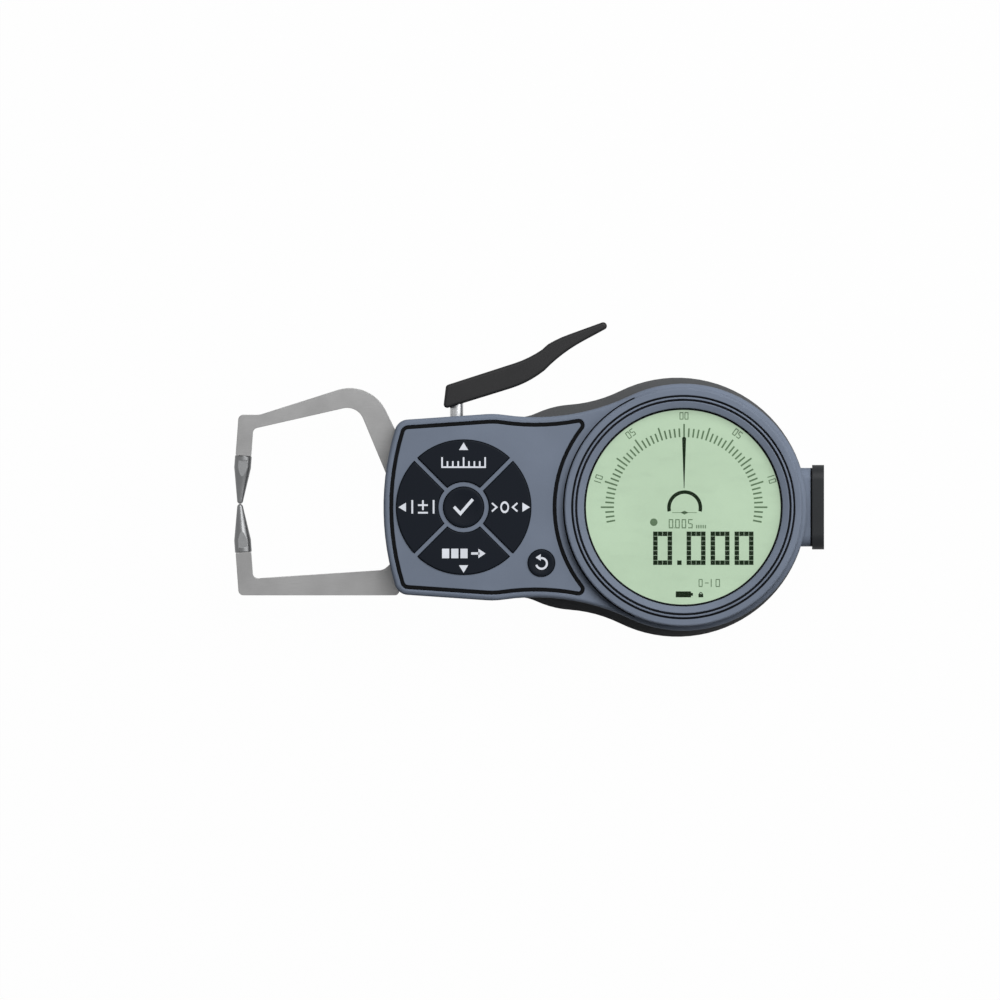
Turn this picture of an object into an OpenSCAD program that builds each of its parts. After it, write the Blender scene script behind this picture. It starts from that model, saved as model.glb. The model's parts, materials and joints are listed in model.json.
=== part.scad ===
// Hand-held electronic caliper gauge with a fixed and a moving measuring arm.
// It lies on its back: display up (+Z), arms to the left (-X), thumb lever at the far side (+Y).
// The origin is on the rear face, under the centre of the display. All lengths are millimetres.

/* [Housing outline] */
// Radius of the round display end of the front housing
display_end_r = 31; // [30:0.1:32.4]
// Radius of the round rear housing
rear_end_r = 32.5; // [32:0.1:34]
// Half height of the waist between the display and the keys
waist_half = 22.6; // [22:0.1:23]
// Radius of the hollow waist curve
waist_r = 55; // [50:1:60]
// Half height at the fullest point beside the keys
crest_half = 23.4; // [23:0.1:24]
// Radius of the full curve beside the keys
crest_r = 20; // [16:1:26]
// Distance from the display centre to the arm end
end_reach = 75.2; // [74:0.1:78]
// Half height at the arm end
end_half = 22; // [21.4:0.1:22.6]
// Corner radius at the arm end
end_corner_r = 3.5; // [3.2:0.1:5]
// Radius of the bowed arm end
end_bow_r = 67; // [55:1:90]
// How far the rear housing stays inside the front housing at the arm end
rear_inset = 0.9; // [0.6:0.1:1.2]
// Radius of the hollow in the grip beside the display
grip_hollow_r = 33.8; // [30:0.2:40]
// Radius of the grip shoulder
shoulder_r = 24; // [20:0.5:28]
// Distance from the display centre to the top of the grip shoulder
shoulder_reach = 26.8; // [25:0.1:29]
// Half height of the grip shoulder
shoulder_half = 25.8; // [25:0.1:26.4]
// Radius where the grip tucks in behind the front housing
tuck_r = 12; // [8:0.5:16]

/* [Housing depth] */
// Height of the key deck above the rear face
deck_height = 26.4; // [26:0.1:29]
// Side wall of both housings
wall = 2.8; // [2.6:0.1:3]
// Thickness of the rear floor
back_wall = 2; // [1.6:0.1:2.6]
// Thickness of the key deck, panel recess included
deck_t = 2.5; // [2.2:0.1:2.7]
// Rounding of the front edge
front_edge_r = 1; // [0.6:0.1:1.3]
// Rounding of the rear edge
rear_edge_r = 2; // [1:0.1:2.4]
// Width of the seal between the housings
seal_w = 0.7; // [0.5:0.1:0.9]
// Height of the seal between the housings
seal_h = 0.8; // [0.5:0.1:1.2]

/* [Display] */
// Radius of the visible display
display_r = 24.9; // [24:0.1:25.1]
// Radius of the step in the bezel
bezel_step_r = 26.85; // [26.6:0.05:27.2]
// Outer radius of the bezel
bezel_r = 28.05; // [27.9:0.05:28.3]
// Height of the bezel above the key deck
bezel_rise = 2.9; // [2.4:0.1:3.4]
// Thickness of the bezel lip over the window
bezel_lip_t = 1; // [0.7:0.1:1.2]
// Thickness of the window
window_t = 1.2; // [0.9:0.1:1.3]
// Thickness of the liquid crystal panel
lcd_t = 2; // [1.5:0.1:2.2]

/* [Keypad] */
// Distance from the display centre to the centre of the key disc
key_disc_reach = 55.1; // [54.8:0.1:55.4]
// Radius of the key disc
key_disc_r = 17; // [16:0.1:17.1]
// Inner radius of the ring round the centre key
key_ring_in = 5.2; // [4.6:0.1:5.4]
// Outer radius of the ring round the centre key
key_ring_out = 6.3; // [6:0.1:7]
// Width of the bars between the quadrant keys
key_bar_w = 1; // [0.9:0.1:1.4]
// Radius of the return key
return_key_r = 3.5; // [3:0.1:3.8]
// Distance of the return key from the display centre, to the left
return_key_reach = 35.6; // [35.2:0.1:38]
// Distance of the return key below the display centre
return_key_drop = 14; // [12.5:0.1:14.2]
// Travel of a key
key_travel = 0.6; // [0.3:0.05:0.7]
// Height of the key tops above the deck
key_rise = 0.5; // [0.2:0.1:1]
// Thickness of the keypad plate
plate_t = 1.2; // [1:0.1:1.4]
// Distance from the housing outline to the groove round the keypad plate
groove_inset = 1.45; // [1.2:0.05:1.6]
// Width of the groove round the keypad plate
groove_w = 1; // [0.7:0.1:1.1]
// Radius of the keypad plate's hollow end beside the display
plate_arc_r = 31.8; // [31.4:0.1:32.4]

/* [Measuring arms] */
// Height of the underside of the arms above the rear face
arm_height = 11; // [10.6:0.1:11.4]
// Thickness of the arms
arm_t = 4.4; // [3.8:0.1:4.8]
// Reach of the contacts in front of the housing
throat_depth = 36; // [30:0.5:44]
// Height of the contact point above the display centre
contact_rise = 0.8; // [0.4:0.1:1.2]
// Contact point to the outside of the moving arm
upper_outer = 22.4; // [22:0.1:23]
// Contact point to the inside of the moving arm
upper_inner = 19.1; // [18.4:0.1:19.3]
// Contact point to the outside of the fixed arm
lower_outer = 22.9; // [22.6:0.1:23.2]
// Contact point to the inside of the fixed arm
lower_inner = 18.6; // [18.2:0.1:18.8]
// Width of the legs that carry the contacts
leg_w = 3.96; // [3.6:0.1:4.6]
// Lean of the legs and contacts away from the housing, in degrees
leg_lean = 4.2; // [2:0.1:6]
// Distance from the contact point to the end face of each leg
contact_length = 12.1; // [10:0.1:13]
// Radius of the collar of a contact
contact_r = 2.1; // [1.7:0.05:2.2]
// Radius of the ball end of a contact
tip_r = 0.75; // [0.5:0.05:1]
// Gap between the two ball ends when the jaws are closed
jaw_gap = 0.06; // [0.02:0.01:0.3]
// Opening of the jaws at the contacts
jaw_travel = 10.5; // [6:0.1:10.6]

/* [Lever] */
// Distance from the display centre to the pivot and the lever stem
pivot_reach = 56.85; // [56.4:0.05:57.2]
// Diameter of the lever stem
stem_d = 3.3; // [2.6:0.1:3.6]
// Height of the lower left corner of the lever above the display centre
lever_height = 24.7; // [24.5:0.1:27]
// Width of the lever, along the depth of the gauge
lever_w = 9; // [6:0.5:12]
// Rounding of the lever's edges
lever_edge_r = 0.7; // [0.3:0.05:0.75]

/* [Pivot] */
// Diameter of the pivot shaft
shaft_d = 4; // [3.6:0.1:4.2]
// Outer diameter of the pivot bearings
bearing_d = 8; // [7.8:0.1:9]
// Width of the pivot bearings
bearing_w = 3; // [2.6:0.1:3]
// Outer diameter of the hub sleeve
hub_d = 10; // [9:0.1:10.6]
// Radius of the scale sector
scale_r = 24; // [22:0.1:24.5]
// Half angle of the scale sector, in degrees
scale_half_angle = 14; // [12:0.5:16]
// Wire diameter of the measuring spring
spring_wire = 0.7; // [0.5:0.05:0.75]
// Thickness of the chassis plate
chassis_t = 3; // [2.8:0.1:3.2]

/* [Battery neck] */
// Half width of the battery sleeve
neck_half = 9.86; // [9:0.02:10.4]
// Distance from the display centre to the end of the battery sleeve
neck_reach = 31.9; // [31.5:0.1:34]
// Thickness of the gasket under the battery cap
cap_gasket_t = 0.4; // [0.3:0.05:0.8]
// Thickness of the battery cap
cap_t = 3; // [2.6:0.1:5]
// How far the cap overhangs the sleeve
cap_overhang = 0.74; // [0.4:0.02:1.2]

/* [Fasteners] */
// Shank diameter of the housing screws
housing_screw_d = 2; // [1.6:0.1:2.2]
// Head diameter of the housing screws
housing_head_d = 3.8; // [3.4:0.1:4.2]
// Shank diameter of the small screws inside
small_screw_d = 1.6; // [1.2:0.1:1.8]
// Shank diameter of the screws and dowels of the arm and bridge
arm_screw_d = 2; // [1.4:0.1:2.2]

/* [Fits] */
// Gap between pieces that are slid together
fit_gap = 0.1; // [0.06:0.01:0.15]
// Gap of a pressed seat
press_gap = 0.02; // [0.01:0.005:0.03]
// Gap between pieces that move past each other
run_gap = 0.4; // [0.25:0.05:0.5]
// Gap round a key
key_gap = 0.15; // [0.1:0.01:0.2]

/* [Hidden] */
$fn = 64;

// Colours
shell_grey = "#6e7684";
grip_black = "#2b2d2e";
key_black = "#1b2028";
steel = "#9b9b9b";
rubber_black = "#17181a";
board_green = "#1d5a3a";
brass = "#b08d4a";

// Largest turn of an outline between two neighbouring points on a round
arc_step = 7.5;
// Largest gap between a round and the straight line between two neighbouring points on it
chord_gap = 0.02;
// Margin by which a cut passes through a face
pass = 1;
// Depth by which two forms of one piece run into each other
sink = 0.5;
// Gap at the blind end of a screw or a pin
bottom_gap = 0.2;
// Radius of a screw's head as a share of the diameter of its shank
head_share = 0.9;

// Outlines made of rounds joined by straight edges.
// A round is [x, y, radius]; a hollow round has a negative radius. Rounds run anticlockwise.

function turned(p, about, angle) =
    let (dx = p.x - about.x, dy = p.y - about.y)
    [about.x + dx * cos(angle) - dy * sin(angle), about.y + dx * sin(angle) + dy * cos(angle)];
function polar(c, r, angle) = [c.x + r * cos(angle), c.y + r * sin(angle)];
function positive_angle(a) = a + 1 - 360 * floor((a + 1) / 360) - 1;
// Direction that the straight edge from round a to round b faces
function edge_facing(a, b) =
    let (dx = b.x - a.x, dy = b.y - a.y)
    atan2(dy, dx) - acos(max(-1, min(1, (a.z - b.z) / norm([dx, dy]))));
function edge_length(a, b) =
    sqrt(max(0, pow(b.x - a.x, 2) + pow(b.y - a.y, 2) - pow(a.z - b.z, 2)));
function round_points(c, from, to, inset, closed) =
    let (turn = c.z > 0 ? positive_angle(to - from) : -positive_angle(from - to))
    let (step = min(arc_step, 2 * acos(1 - chord_gap / max(0.1, abs(c.z)))))
    let (steps = max(1, ceil(abs(turn) / step)))
    [for (i = [0:steps - (closed ? 1 : 0)]) polar(c, c.z - inset, from + turn * i / steps)];
function outline(rounds, inset = 0) =
    let (n = len(rounds))
    [for (i = [0:n - 1])
        let (before = rounds[(i + n - 1) % n], here = rounds[i], after = rounds[(i + 1) % n])
        each round_points(here, edge_facing(before, here), edge_facing(here, after), inset,
            edge_length(here, after) < 0.01)];
function inset_rounds(rounds, d) = [for (c = rounds) [c.x, c.y, c.z - d]];
function mirrored(rounds) = [for (i = [len(rounds) - 1:-1:0]) [rounds[i].x, -rounds[i].y, rounds[i].z]];
// Point at distance da from a and db from b, to the right of the way from a to b
function meet(a, da, b, db) =
    let (dx = b.x - a.x, dy = b.y - a.y, reach = norm([dx, dy]))
    let (along = (da * da - db * db + reach * reach) / (2 * reach))
    let (aside = sqrt(da * da - along * along))
    [a.x + (dx * along + dy * aside) / reach, a.y + (dy * along - dx * aside) / reach];
// Horizontal leg of a right triangle
function leg(long, side) = sqrt(long * long - side * side);

module slab(rounds, low, high, inset = 0) {
    translate([0, 0, low]) linear_extrude(high - low) polygon(outline(rounds, inset));
}

// Triangles across a flat end, from the left of an outline to its right.
// The first rung is the edge from high to low; last is the rightmost point.
function across(p, low, high, last) =
    let (n = len(p), next_low = (low + 1) % n, next_high = (high + n - 1) % n)
    next_low == high ? [] :
    high == last || (low != last && p[next_low].x <= p[next_high].x)
        ? concat([[low, next_low, high]], across(p, next_low, high, last))
        : concat([[low, next_high, high]], across(p, low, next_high, last));
function flat_end(p) =
    let (n = len(p), xs = [for (q = p) q.x], least = min(xs), most = max(xs))
    let (left = [for (i = [0:n - 1]) if (xs[i] == least) i][0])
    let (right = [for (i = [0:n - 1]) if (xs[i] == most) i][0])
    across(p, left, (left + n - 1) % n, right);

// Smooth solid through copies of one outline; a level is [height, inset]
module loft(rounds, levels) {
    rings = [for (v = levels) [for (p = outline(rounds, v[1])) [p.x, p.y, v[0]]]];
    n = len(rings[0]);
    last = len(levels) - 1;
    walls = [for (k = [0:last - 1], i = [0:n - 1])
        let (a = k * n + i, b = k * n + (i + 1) % n)
        each [[a, a + n, b + n], [a, b + n, b]]];
    roof = [for (t = flat_end(rings[last])) [t[2] + last * n, t[1] + last * n, t[0] + last * n]];
    polyhedron([for (r = rings) each r], concat(flat_end(rings[0]), roof, walls), convexity = 10);
}

module post(at, r, low, high) {
    translate([at.x, at.y, low]) cylinder(r = r, h = high - low);
}

module ring(outer, inner, low, high) {
    translate([0, 0, low]) difference() {
        cylinder(r = outer, h = high - low);
        translate([0, 0, -pass]) cylinder(r = inner, h = high - low + 2 * pass);
    }
}

// Levels of the stack, from the rear face up
chassis_rise = 1.4;
chassis_low = back_wall + chassis_rise;
chassis_top = chassis_low + chassis_t;
arm_top = arm_height + arm_t;
parting = arm_height + arm_t / 2;
scale_t = 0.8;
nut_t = 1;
bridge_low = arm_top + scale_t + nut_t + run_gap;
bridge_top = bridge_low + bearing_w;
mat_t = 1;
board_t = 1.2;
board_clear = 0.5;
deck_low = deck_height - deck_t;
board_top = deck_low - mat_t - board_clear;
board_low = board_top - board_t;
plate_low = deck_height - plate_t;
bezel_top = deck_height + bezel_rise;

// Front housing outline
origin = [0, 0];
waist_centre = [-leg(display_end_r + waist_r, waist_half + waist_r), waist_half + waist_r];
crest_y = crest_half - crest_r;
crest_centre = [waist_centre.x - leg(waist_r + crest_r, waist_centre.y - crest_y), crest_y];
bow_x = end_bow_r - end_reach;
function end_corner(inset) =
    let (y = end_half - inset - end_corner_r)
    [bow_x - leg(end_bow_r - inset - end_corner_r, y), y, end_corner_r];
front_side = [
    [waist_centre.x, waist_centre.y, -waist_r],
    [crest_centre.x, crest_centre.y, crest_r],
    end_corner(0)
];
front_rounds = concat([[0, 0, display_end_r]], front_side, [[bow_x, 0, end_bow_r]], mirrored(front_side));

// Rear housing outline: the grip swells past the front housing beside the display
rear_end = [display_end_r - rear_end_r, 0, rear_end_r];
shoulder = [-shoulder_reach, shoulder_half - shoulder_r, shoulder_r];
grip_hollow = meet(rear_end, rear_end_r + grip_hollow_r, shoulder, shoulder_r + grip_hollow_r);
tuck_y = crest_half - rear_inset + tuck_r;
rear_side = [
    [grip_hollow.x, grip_hollow.y, -grip_hollow_r],
    shoulder,
    [shoulder.x - leg(shoulder_r + tuck_r, tuck_y - shoulder.y), tuck_y, -tuck_r],
    end_corner(rear_inset)
];
rear_rounds = concat([rear_end], rear_side, [[bow_x, 0, end_bow_r - rear_inset]], mirrored(rear_side));

// Recess for the keypad plate and its seal
recess_corner_r = groove_w + 0.6;
recess_corner = meet(waist_centre, waist_r + groove_inset + recess_corner_r,
    origin, plate_arc_r + recess_corner_r);
recess_side = concat([[recess_corner.x, recess_corner.y, recess_corner_r]],
    inset_rounds(front_side, groove_inset));
recess_rounds = concat(recess_side, [[bow_x, 0, end_bow_r - groove_inset]], mirrored(recess_side),
    [[0, 0, -plate_arc_r]]);

// Pivot and motion
pivot = [-pivot_reach, 0];
contact = [-end_reach - throat_depth, contact_rise];
open_angle = 2 * asin(jaw_travel / 2 / norm(contact - pivot));

// Moving arm outline
hub_boss_r = 8;
root_fillet_r = 10;
root_fillet = polar(pivot, hub_boss_r + root_fillet_r, 101);
crest_turn_r = 10;
crest_turn = [-end_reach - 8.4, contact_rise + upper_outer - 3.3];
throat_turn_r = 4.3;
throat_turn = [-end_reach - 9.1, contact_rise + upper_inner + 0.7];
root_heel_r = 5;
root_heel = [-end_reach + 8.4, 2.8];
leg_corner_r = 1.3;
leg_fillet_r = 1.3;
seat_corner_r = 0.3;
// Centre line of a leg at a height above the contact point
function leg_x(rise) = contact.x + abs(rise) * tan(leg_lean);
function leg_point(rise, side, r) = [leg_x(rise) + side * (leg_w / 2 - r), contact.y + rise, r];
seat_rise = contact_length + seat_corner_r;
seat_slope = leg_w / 2 * tan(leg_lean);
// Corner of the seat that a contact screws up against; end is 1 for the upper leg and -1 for the lower one
function seat_point(end, side) = leg_point(end * (seat_rise - side * seat_slope), side, seat_corner_r);
upper_corner = leg_point(upper_outer - leg_corner_r, -1, leg_corner_r);
brow_r = 3;
brow = [contact.x + 4.5, contact.y + upper_outer + brow_r, -brow_r];
upper_fillet_rise = upper_inner - leg_fillet_r;
upper_fillet = [leg_x(upper_fillet_rise) + leg_w / 2 + leg_fillet_r, contact.y + upper_fillet_rise,
    -leg_fillet_r];
moving_arm_rounds = [
    [pivot.x, pivot.y, hub_boss_r],
    [root_fillet.x, root_fillet.y, -root_fillet_r],
    [crest_turn.x, crest_turn.y, crest_turn_r],
    brow,
    upper_corner,
    seat_point(1, -1),
    seat_point(1, 1),
    upper_fillet,
    [throat_turn.x, throat_turn.y, -throat_turn_r],
    [root_heel.x, root_heel.y, root_heel_r]
];
function edge_ends(a, b, inset) =
    let (facing = edge_facing(a, b))
    [polar(a, a.z - inset, facing), polar(b, b.z - inset, facing)];
// Way through the housing that the moving arm swings in
arm_inner_edge = edge_ends(moving_arm_rounds[8], moving_arm_rounds[9], -run_gap);
arm_outer_edge = edge_ends(moving_arm_rounds[1], moving_arm_rounds[2], -run_gap);
arm_window = [
    turned(arm_outer_edge[0], pivot, -open_angle),
    turned(arm_outer_edge[1], pivot, -open_angle),
    arm_inner_edge[0],
    arm_inner_edge[1]
];

// Fixed arm outline
lower_fillet_rise = leg_fillet_r - lower_inner;
lower_edge_y = contact.y - lower_outer;
root_low = -end_half + wall + 0.4;
root_high = -11.5;
root_right = -end_reach + 16;
root_left = -end_reach + 3.5;
root_r = 2;
gullet_r = 3;
fixed_arm_rounds = [
    leg_point(leg_corner_r - lower_outer, -1, leg_corner_r),
    [root_left - 0.6, lower_edge_y + 1, 1],
    [root_left + 2.6, root_low - 1.2, -1.2],
    [root_right - root_r, root_low + root_r, root_r],
    [root_right - root_r, root_high - root_r, root_r],
    [root_left + root_r, root_high - root_r, root_r],
    [-end_reach - 1.2, contact.y - lower_inner + 5, -gullet_r],
    [leg_x(lower_fillet_rise) + leg_w / 2 + leg_fillet_r, contact.y + lower_fillet_rise, -leg_fillet_r],
    seat_point(-1, 1),
    seat_point(-1, -1)
];

// Thumb lever outline, from its lower left corner along the underside to the tip and back
lever_left = pivot.x - 3.3;
function lever_round(x, y, r) = [lever_left + x, lever_height + y, r];
lever_rounds = [
    lever_round(0.95, 1.1, 0.9),
    lever_round(9.1, 29.9, 26),
    lever_round(54.1, -18.2, -40),
    lever_round(40.05, 20.75, 0.95),
    lever_round(41.55, -9.6, 30),
    lever_round(9.45, 37.1, -27),
    lever_round(1.45, 5.2, 0.9)
];

// Housing screw columns: four round the display and three beside the keys
column_ring_r = display_end_r - 3.6;
column_y = waist_half - 5.7;
display_columns = [for (a = [58, 125, -125, -58]) polar(origin, column_ring_r, a)];
key_column_gap = 11.2;
key_column_x = -plate_arc_r - key_column_gap;
key_columns = [[key_column_x, column_y], [key_column_x, -column_y], [-end_reach + 12.2, column_y]];
columns = concat(display_columns, key_columns);
front_column_r = 1.8;
rear_column_r = 3.7;
head_depth = 2.2;
housing_screw_reach = parting + 6;

// Board screws
board_boss_x = -display_end_r + 3.5;
board_bosses = [[board_boss_x, 14], [board_boss_x, -14], [-end_reach / 2, 15]];
board_boss_r = 1.7;

// Battery sleeve section, as rounds in y and z
neck_low = 5;
neck_high = board_low - 0.7;
neck_corner_r = 3;
neck_side_wall = 2.7;
neck_wall = 1.4;
sleeve_inner_end = 3;
function box_rounds(half, low, high, r) = [
    [half - r, low + r, r], [half - r, high - r, r], [r - half, high - r, r], [r - half, low + r, r]
];
neck_rounds = box_rounds(neck_half, neck_low, neck_high, neck_corner_r);
well_rounds = box_rounds(neck_half - neck_side_wall, neck_low + neck_wall, neck_high - neck_wall, 1.5);

// Solid along X from a section in y and z
module bar_along_x(rounds, from, to, inset = 0) {
    translate([from, 0, 0]) rotate([90, 0, 90]) linear_extrude(to - from) polygon(outline(rounds, inset));
}

// Key shapes, drawn round the centre of the key disc
module quadrant(grow) {
    side = key_bar_w / 2 + key_gap - grow;
    far = 2 * key_disc_r;
    difference() {
        intersection() {
            circle(r = key_disc_r - key_gap + grow);
            polygon([[0, side * sqrt(2)], [far, side * sqrt(2) + far], [-far, side * sqrt(2) + far]]);
        }
        circle(r = key_ring_out + key_gap - grow);
    }
}
key_lip = 0.35;
key_disc = [-key_disc_reach, 0];
return_key_at = [-return_key_reach, -return_key_drop];
quadrant_mid = (key_disc_r + key_ring_out) / 2;
key_stems = concat([for (a = [0:90:270]) polar(key_disc, quadrant_mid, a)], [key_disc, return_key_at]);
key_stem_r = 1.5;
lip_top = plate_low - 0.1;
lip_t = 0.6;
key_top = deck_height + key_rise;
stem_low = board_top + key_travel + 0.05;

module at_key_disc(angle = 0) {
    translate([key_disc.x, key_disc.y, 0]) rotate(angle) children();
}

module quadrant_key(angle) {
    at_key_disc(angle) {
        translate([0, 0, lip_top - lip_t]) linear_extrude(lip_t) quadrant(key_lip);
        translate([0, 0, lip_top - lip_t]) linear_extrude(key_top - lip_top + lip_t) quadrant(0);
        post([0, quadrant_mid], key_stem_r, stem_low, lip_top);
    }
}

module round_key(at, r) {
    post(at, r - key_gap + key_lip, lip_top - lip_t, lip_top);
    post(at, r - key_gap, lip_top - lip_t, key_top);
    post(at, key_stem_r, stem_low, lip_top);
}

// Ways through the housings for the arms and the stem
module arm_ways() {
    translate([0, 0, arm_height - run_gap]) linear_extrude(arm_t + 2 * run_gap) polygon(arm_window);
    slab(fixed_arm_rounds, arm_height - fit_gap, arm_top + fit_gap, -fit_gap);
    stem_swing = crest_half * sin(open_angle);
    translate([pivot.x - stem_d / 2 - run_gap, column_y - 3, parting - stem_d / 2 - run_gap])
        cube([stem_d + stem_swing + 2 * run_gap, end_half, stem_d + 2 * run_gap]);
}

module rear_housing() {
    edge = [for (a = [0:30:90]) [rear_edge_r * (1 - cos(a)), rear_edge_r * (1 - sin(a))]];
    color(grip_black) difference() {
        union() {
            difference() {
                loft(rear_rounds, concat(edge, [[parting, 0]]));
                slab(front_rounds, back_wall, parting + pass, wall);
            }
            for (c = columns) {
                post(c, rear_column_r, back_wall - sink, arm_height - 1);
                post(c, rear_column_r - 1.2, back_wall, parting);
            }
            for (c = chassis_bosses) post(c, chassis_boss_r, back_wall - sink, chassis_low);
        }
        for (c = columns) {
            post(c, housing_screw_d / 2 + fit_gap, -pass, parting + pass);
            post(c, housing_head_d / 2 + fit_gap, -pass, head_depth);
        }
        for (c = chassis_bosses) post(c, small_screw_d / 2 + press_gap, chassis_screw_low, chassis_top);
        seal_ring(parting + pass, fit_gap);
        arm_ways();
        bar_along_x(neck_rounds, 0, neck_reach + pass, -fit_gap);
    }
}

module front_housing() {
    edge = [for (a = [0:30:90]) [deck_height - front_edge_r * (1 - sin(a)), front_edge_r * (1 - cos(a))]];
    color(shell_grey) difference() {
        union() {
            difference() {
                union() {
                    loft(front_rounds, concat([[parting, 0]], edge));
                    display_boss();
                }
                slab(front_rounds, parting - pass, deck_low, wall);
            }
            for (c = columns) post(c, front_column_r, parting, deck_low + sink);
            for (c = key_columns) post(c, front_column_r + 0.9, board_top, deck_low + sink);
            for (c = board_bosses) post(c, board_boss_r, board_top, deck_low + sink);
        }
        post(origin, aperture_r, deck_low - pass, bezel_top + pass);
        post(origin, bezel_r + fit_gap, deck_height, bezel_top + pass);
        slab(recess_rounds, plate_low, deck_height + pass);
        post(key_disc, key_disc_r + key_lip, deck_low - pass, deck_height + pass);
        post(return_key_at, return_key_r + key_lip + key_gap, deck_low - pass, deck_height + pass);
        for (c = columns)
            post(c, housing_screw_d / 2 + press_gap, parting - pass, housing_screw_reach + bottom_gap);
        for (c = board_bosses)
            post(c, small_screw_d / 2 + press_gap, board_top - pass, board_screw_top + bottom_gap);
        arm_ways();
        bar_along_x(neck_rounds, 0, neck_reach + pass, -fit_gap);
    }
}

// Raised round the display, with a domed edge
module display_boss() {
    foot_r = display_end_r - front_edge_r - 0.15;
    crown_r = bezel_r + 0.5;
    dome = [for (a = [0:15:90]) [crown_r + (foot_r - crown_r) * cos(a), deck_height + bezel_rise * sin(a)]];
    rotate_extrude() polygon(concat([[display_r, deck_low], [foot_r, deck_low]], dome,
        [[display_r, bezel_top]]));
}

module seal_ring(high, grow = 0) {
    difference() {
        slab(front_rounds, parting - seal_h - grow, high, (wall + rear_inset - seal_w) / 2 - grow);
        slab(front_rounds, parting - seal_h - pass, high + pass, (wall + rear_inset + seal_w) / 2 + grow);
    }
}

module housing_seal() {
    color(rubber_black) difference() {
        seal_ring(parting);
        arm_ways();
        bar_along_x(neck_rounds, 0, neck_reach + pass, -fit_gap);
    }
}

module housing_screws() {
    color(steel) for (c = columns) {
        post(c, housing_head_d / 2, head_depth - 1.6, head_depth);
        post(c, housing_screw_d / 2, head_depth - 0.1, housing_screw_reach);
    }
}

// Display, from the window down to the board
aperture_r = display_r + 0.9;
window_r = bezel_step_r - 0.35;
gasket_t = bezel_rise - bezel_lip_t - window_t;
lcd_r = display_r + 0.6;
lcd_top = deck_height - 0.2;
lcd_low = lcd_top - lcd_t;
frame_r = lcd_r;
backlight_r = display_r - 5;
connector_w = 2.4;
connector_y = -backlight_r - connector_w / 2 - 1.2;
connector_l = 2 * leg(frame_r - 1, connector_y - connector_w / 2);

module display_bezel() {
    window_seat_r = window_r + fit_gap;
    lip_low = bezel_top - bezel_lip_t;
    color(shell_grey) rotate_extrude() polygon([
        [window_seat_r, deck_height], [bezel_r, deck_height], [bezel_r, bezel_top - 0.35],
        [bezel_r - 0.35, bezel_top], [bezel_step_r + 0.2, bezel_top], [bezel_step_r, bezel_top - 0.4],
        [display_r, lip_low + 0.15], [display_r, lip_low], [window_seat_r, lip_low]
    ]);
}

module display_window() {
    low = deck_height + gasket_t;
    color("#dfe8e4", 0.4) post(origin, window_r, low, low + window_t);
}

module window_gasket() {
    color(rubber_black) ring(window_r, aperture_r, deck_height, deck_height + gasket_t);
}

module lcd_panel() {
    color("#bcd3b7") post(origin, lcd_r, lcd_low, lcd_top);
}

module lcd_frame() {
    color("#d8d8d2") difference() {
        ring(frame_r, backlight_r + fit_gap, board_top, lcd_low);
        translate([-connector_l / 2 - fit_gap, connector_y - connector_w / 2 - fit_gap, board_top - pass])
            cube([connector_l + 2 * fit_gap, connector_w + 2 * fit_gap, lcd_low - board_top + 2 * pass]);
    }
}

module backlight() {
    color("#eef2ec") post(origin, backlight_r, board_top, lcd_low);
}

module lcd_connector() {
    color("#d98aa0") translate([-connector_l / 2, connector_y - connector_w / 2, board_top])
        cube([connector_l, connector_w, lcd_low - board_top]);
}

// Keypad
module keypad_plate() {
    color(shell_grey) translate([0, 0, plate_low]) linear_extrude(plate_t) difference() {
        polygon(outline(recess_rounds, groove_w));
        for (a = [0:90:270]) translate(key_disc) rotate(a) quadrant(key_gap);
        translate(key_disc) circle(r = key_ring_in);
        translate(return_key_at) circle(r = return_key_r);
    }
}

module keypad_seal() {
    seal_top = deck_height - 0.25;
    color(rubber_black) difference() {
        slab(recess_rounds, plate_low, seal_top, fit_gap);
        slab(recess_rounds, plate_low - pass, seal_top + pass, groove_w - fit_gap);
    }
}

module up_key() { color(key_black) quadrant_key(0); }
module left_key() { color(key_black) quadrant_key(90); }
module down_key() { color(key_black) quadrant_key(180); }
module right_key() { color(key_black) quadrant_key(270); }
module centre_key() { color(key_black) round_key(key_disc, key_ring_in); }
module return_key() { color(key_black) round_key(return_key_at, return_key_r); }

module key_mat() {
    mat_r = quadrant_mid + 2.4;
    way = return_key_at - key_disc;
    color("#4a4d50") difference() {
        union() {
            post(key_disc, mat_r, board_top, board_top + mat_t);
            post(return_key_at, key_stem_r + 2.4, board_top, board_top + mat_t);
            translate([key_disc.x, key_disc.y, board_top]) rotate(atan2(way.y, way.x))
                translate([0, -key_stem_r, 0]) cube([norm(way), 2 * key_stem_r, mat_t]);
        }
        for (c = key_stems) post(c, key_stem_r + run_gap, board_top - pass, board_top + mat_t + pass);
    }
}

// Board
board_screw_head = 0.8;
board_screw_top = deck_low + 0.8;

module main_board() {
    color(board_green) difference() {
        slab(front_rounds, board_low, board_top, wall + board_clear);
        for (c = columns) post(c, front_column_r + fit_gap, board_low - pass, board_top + pass);
        for (c = board_bosses) post(c, small_screw_d / 2 + fit_gap, board_low - pass, board_top + pass);
    }
}

module board_screws() {
    color(steel) for (c = board_bosses) {
        post(c, small_screw_d * head_share, board_low - board_screw_head, board_low);
        post(c, small_screw_d / 2, board_low - 0.1, board_screw_top);
    }
}

chip_t = 1.5;
module chip(at, size) {
    translate([at.x - size.x / 2, at.y - size.y / 2, board_low - chip_t]) cube([size.x, size.y, chip_t]);
}

module board_chips() {
    color("#222222") {
        chip([-display_r / 2, 0], [10, 10]);
        chip([-display_r / 2, display_r / 2], [7, 5]);
        chip([-display_r / 2, -display_r / 2], [5, 5]);
    }
}

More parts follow.
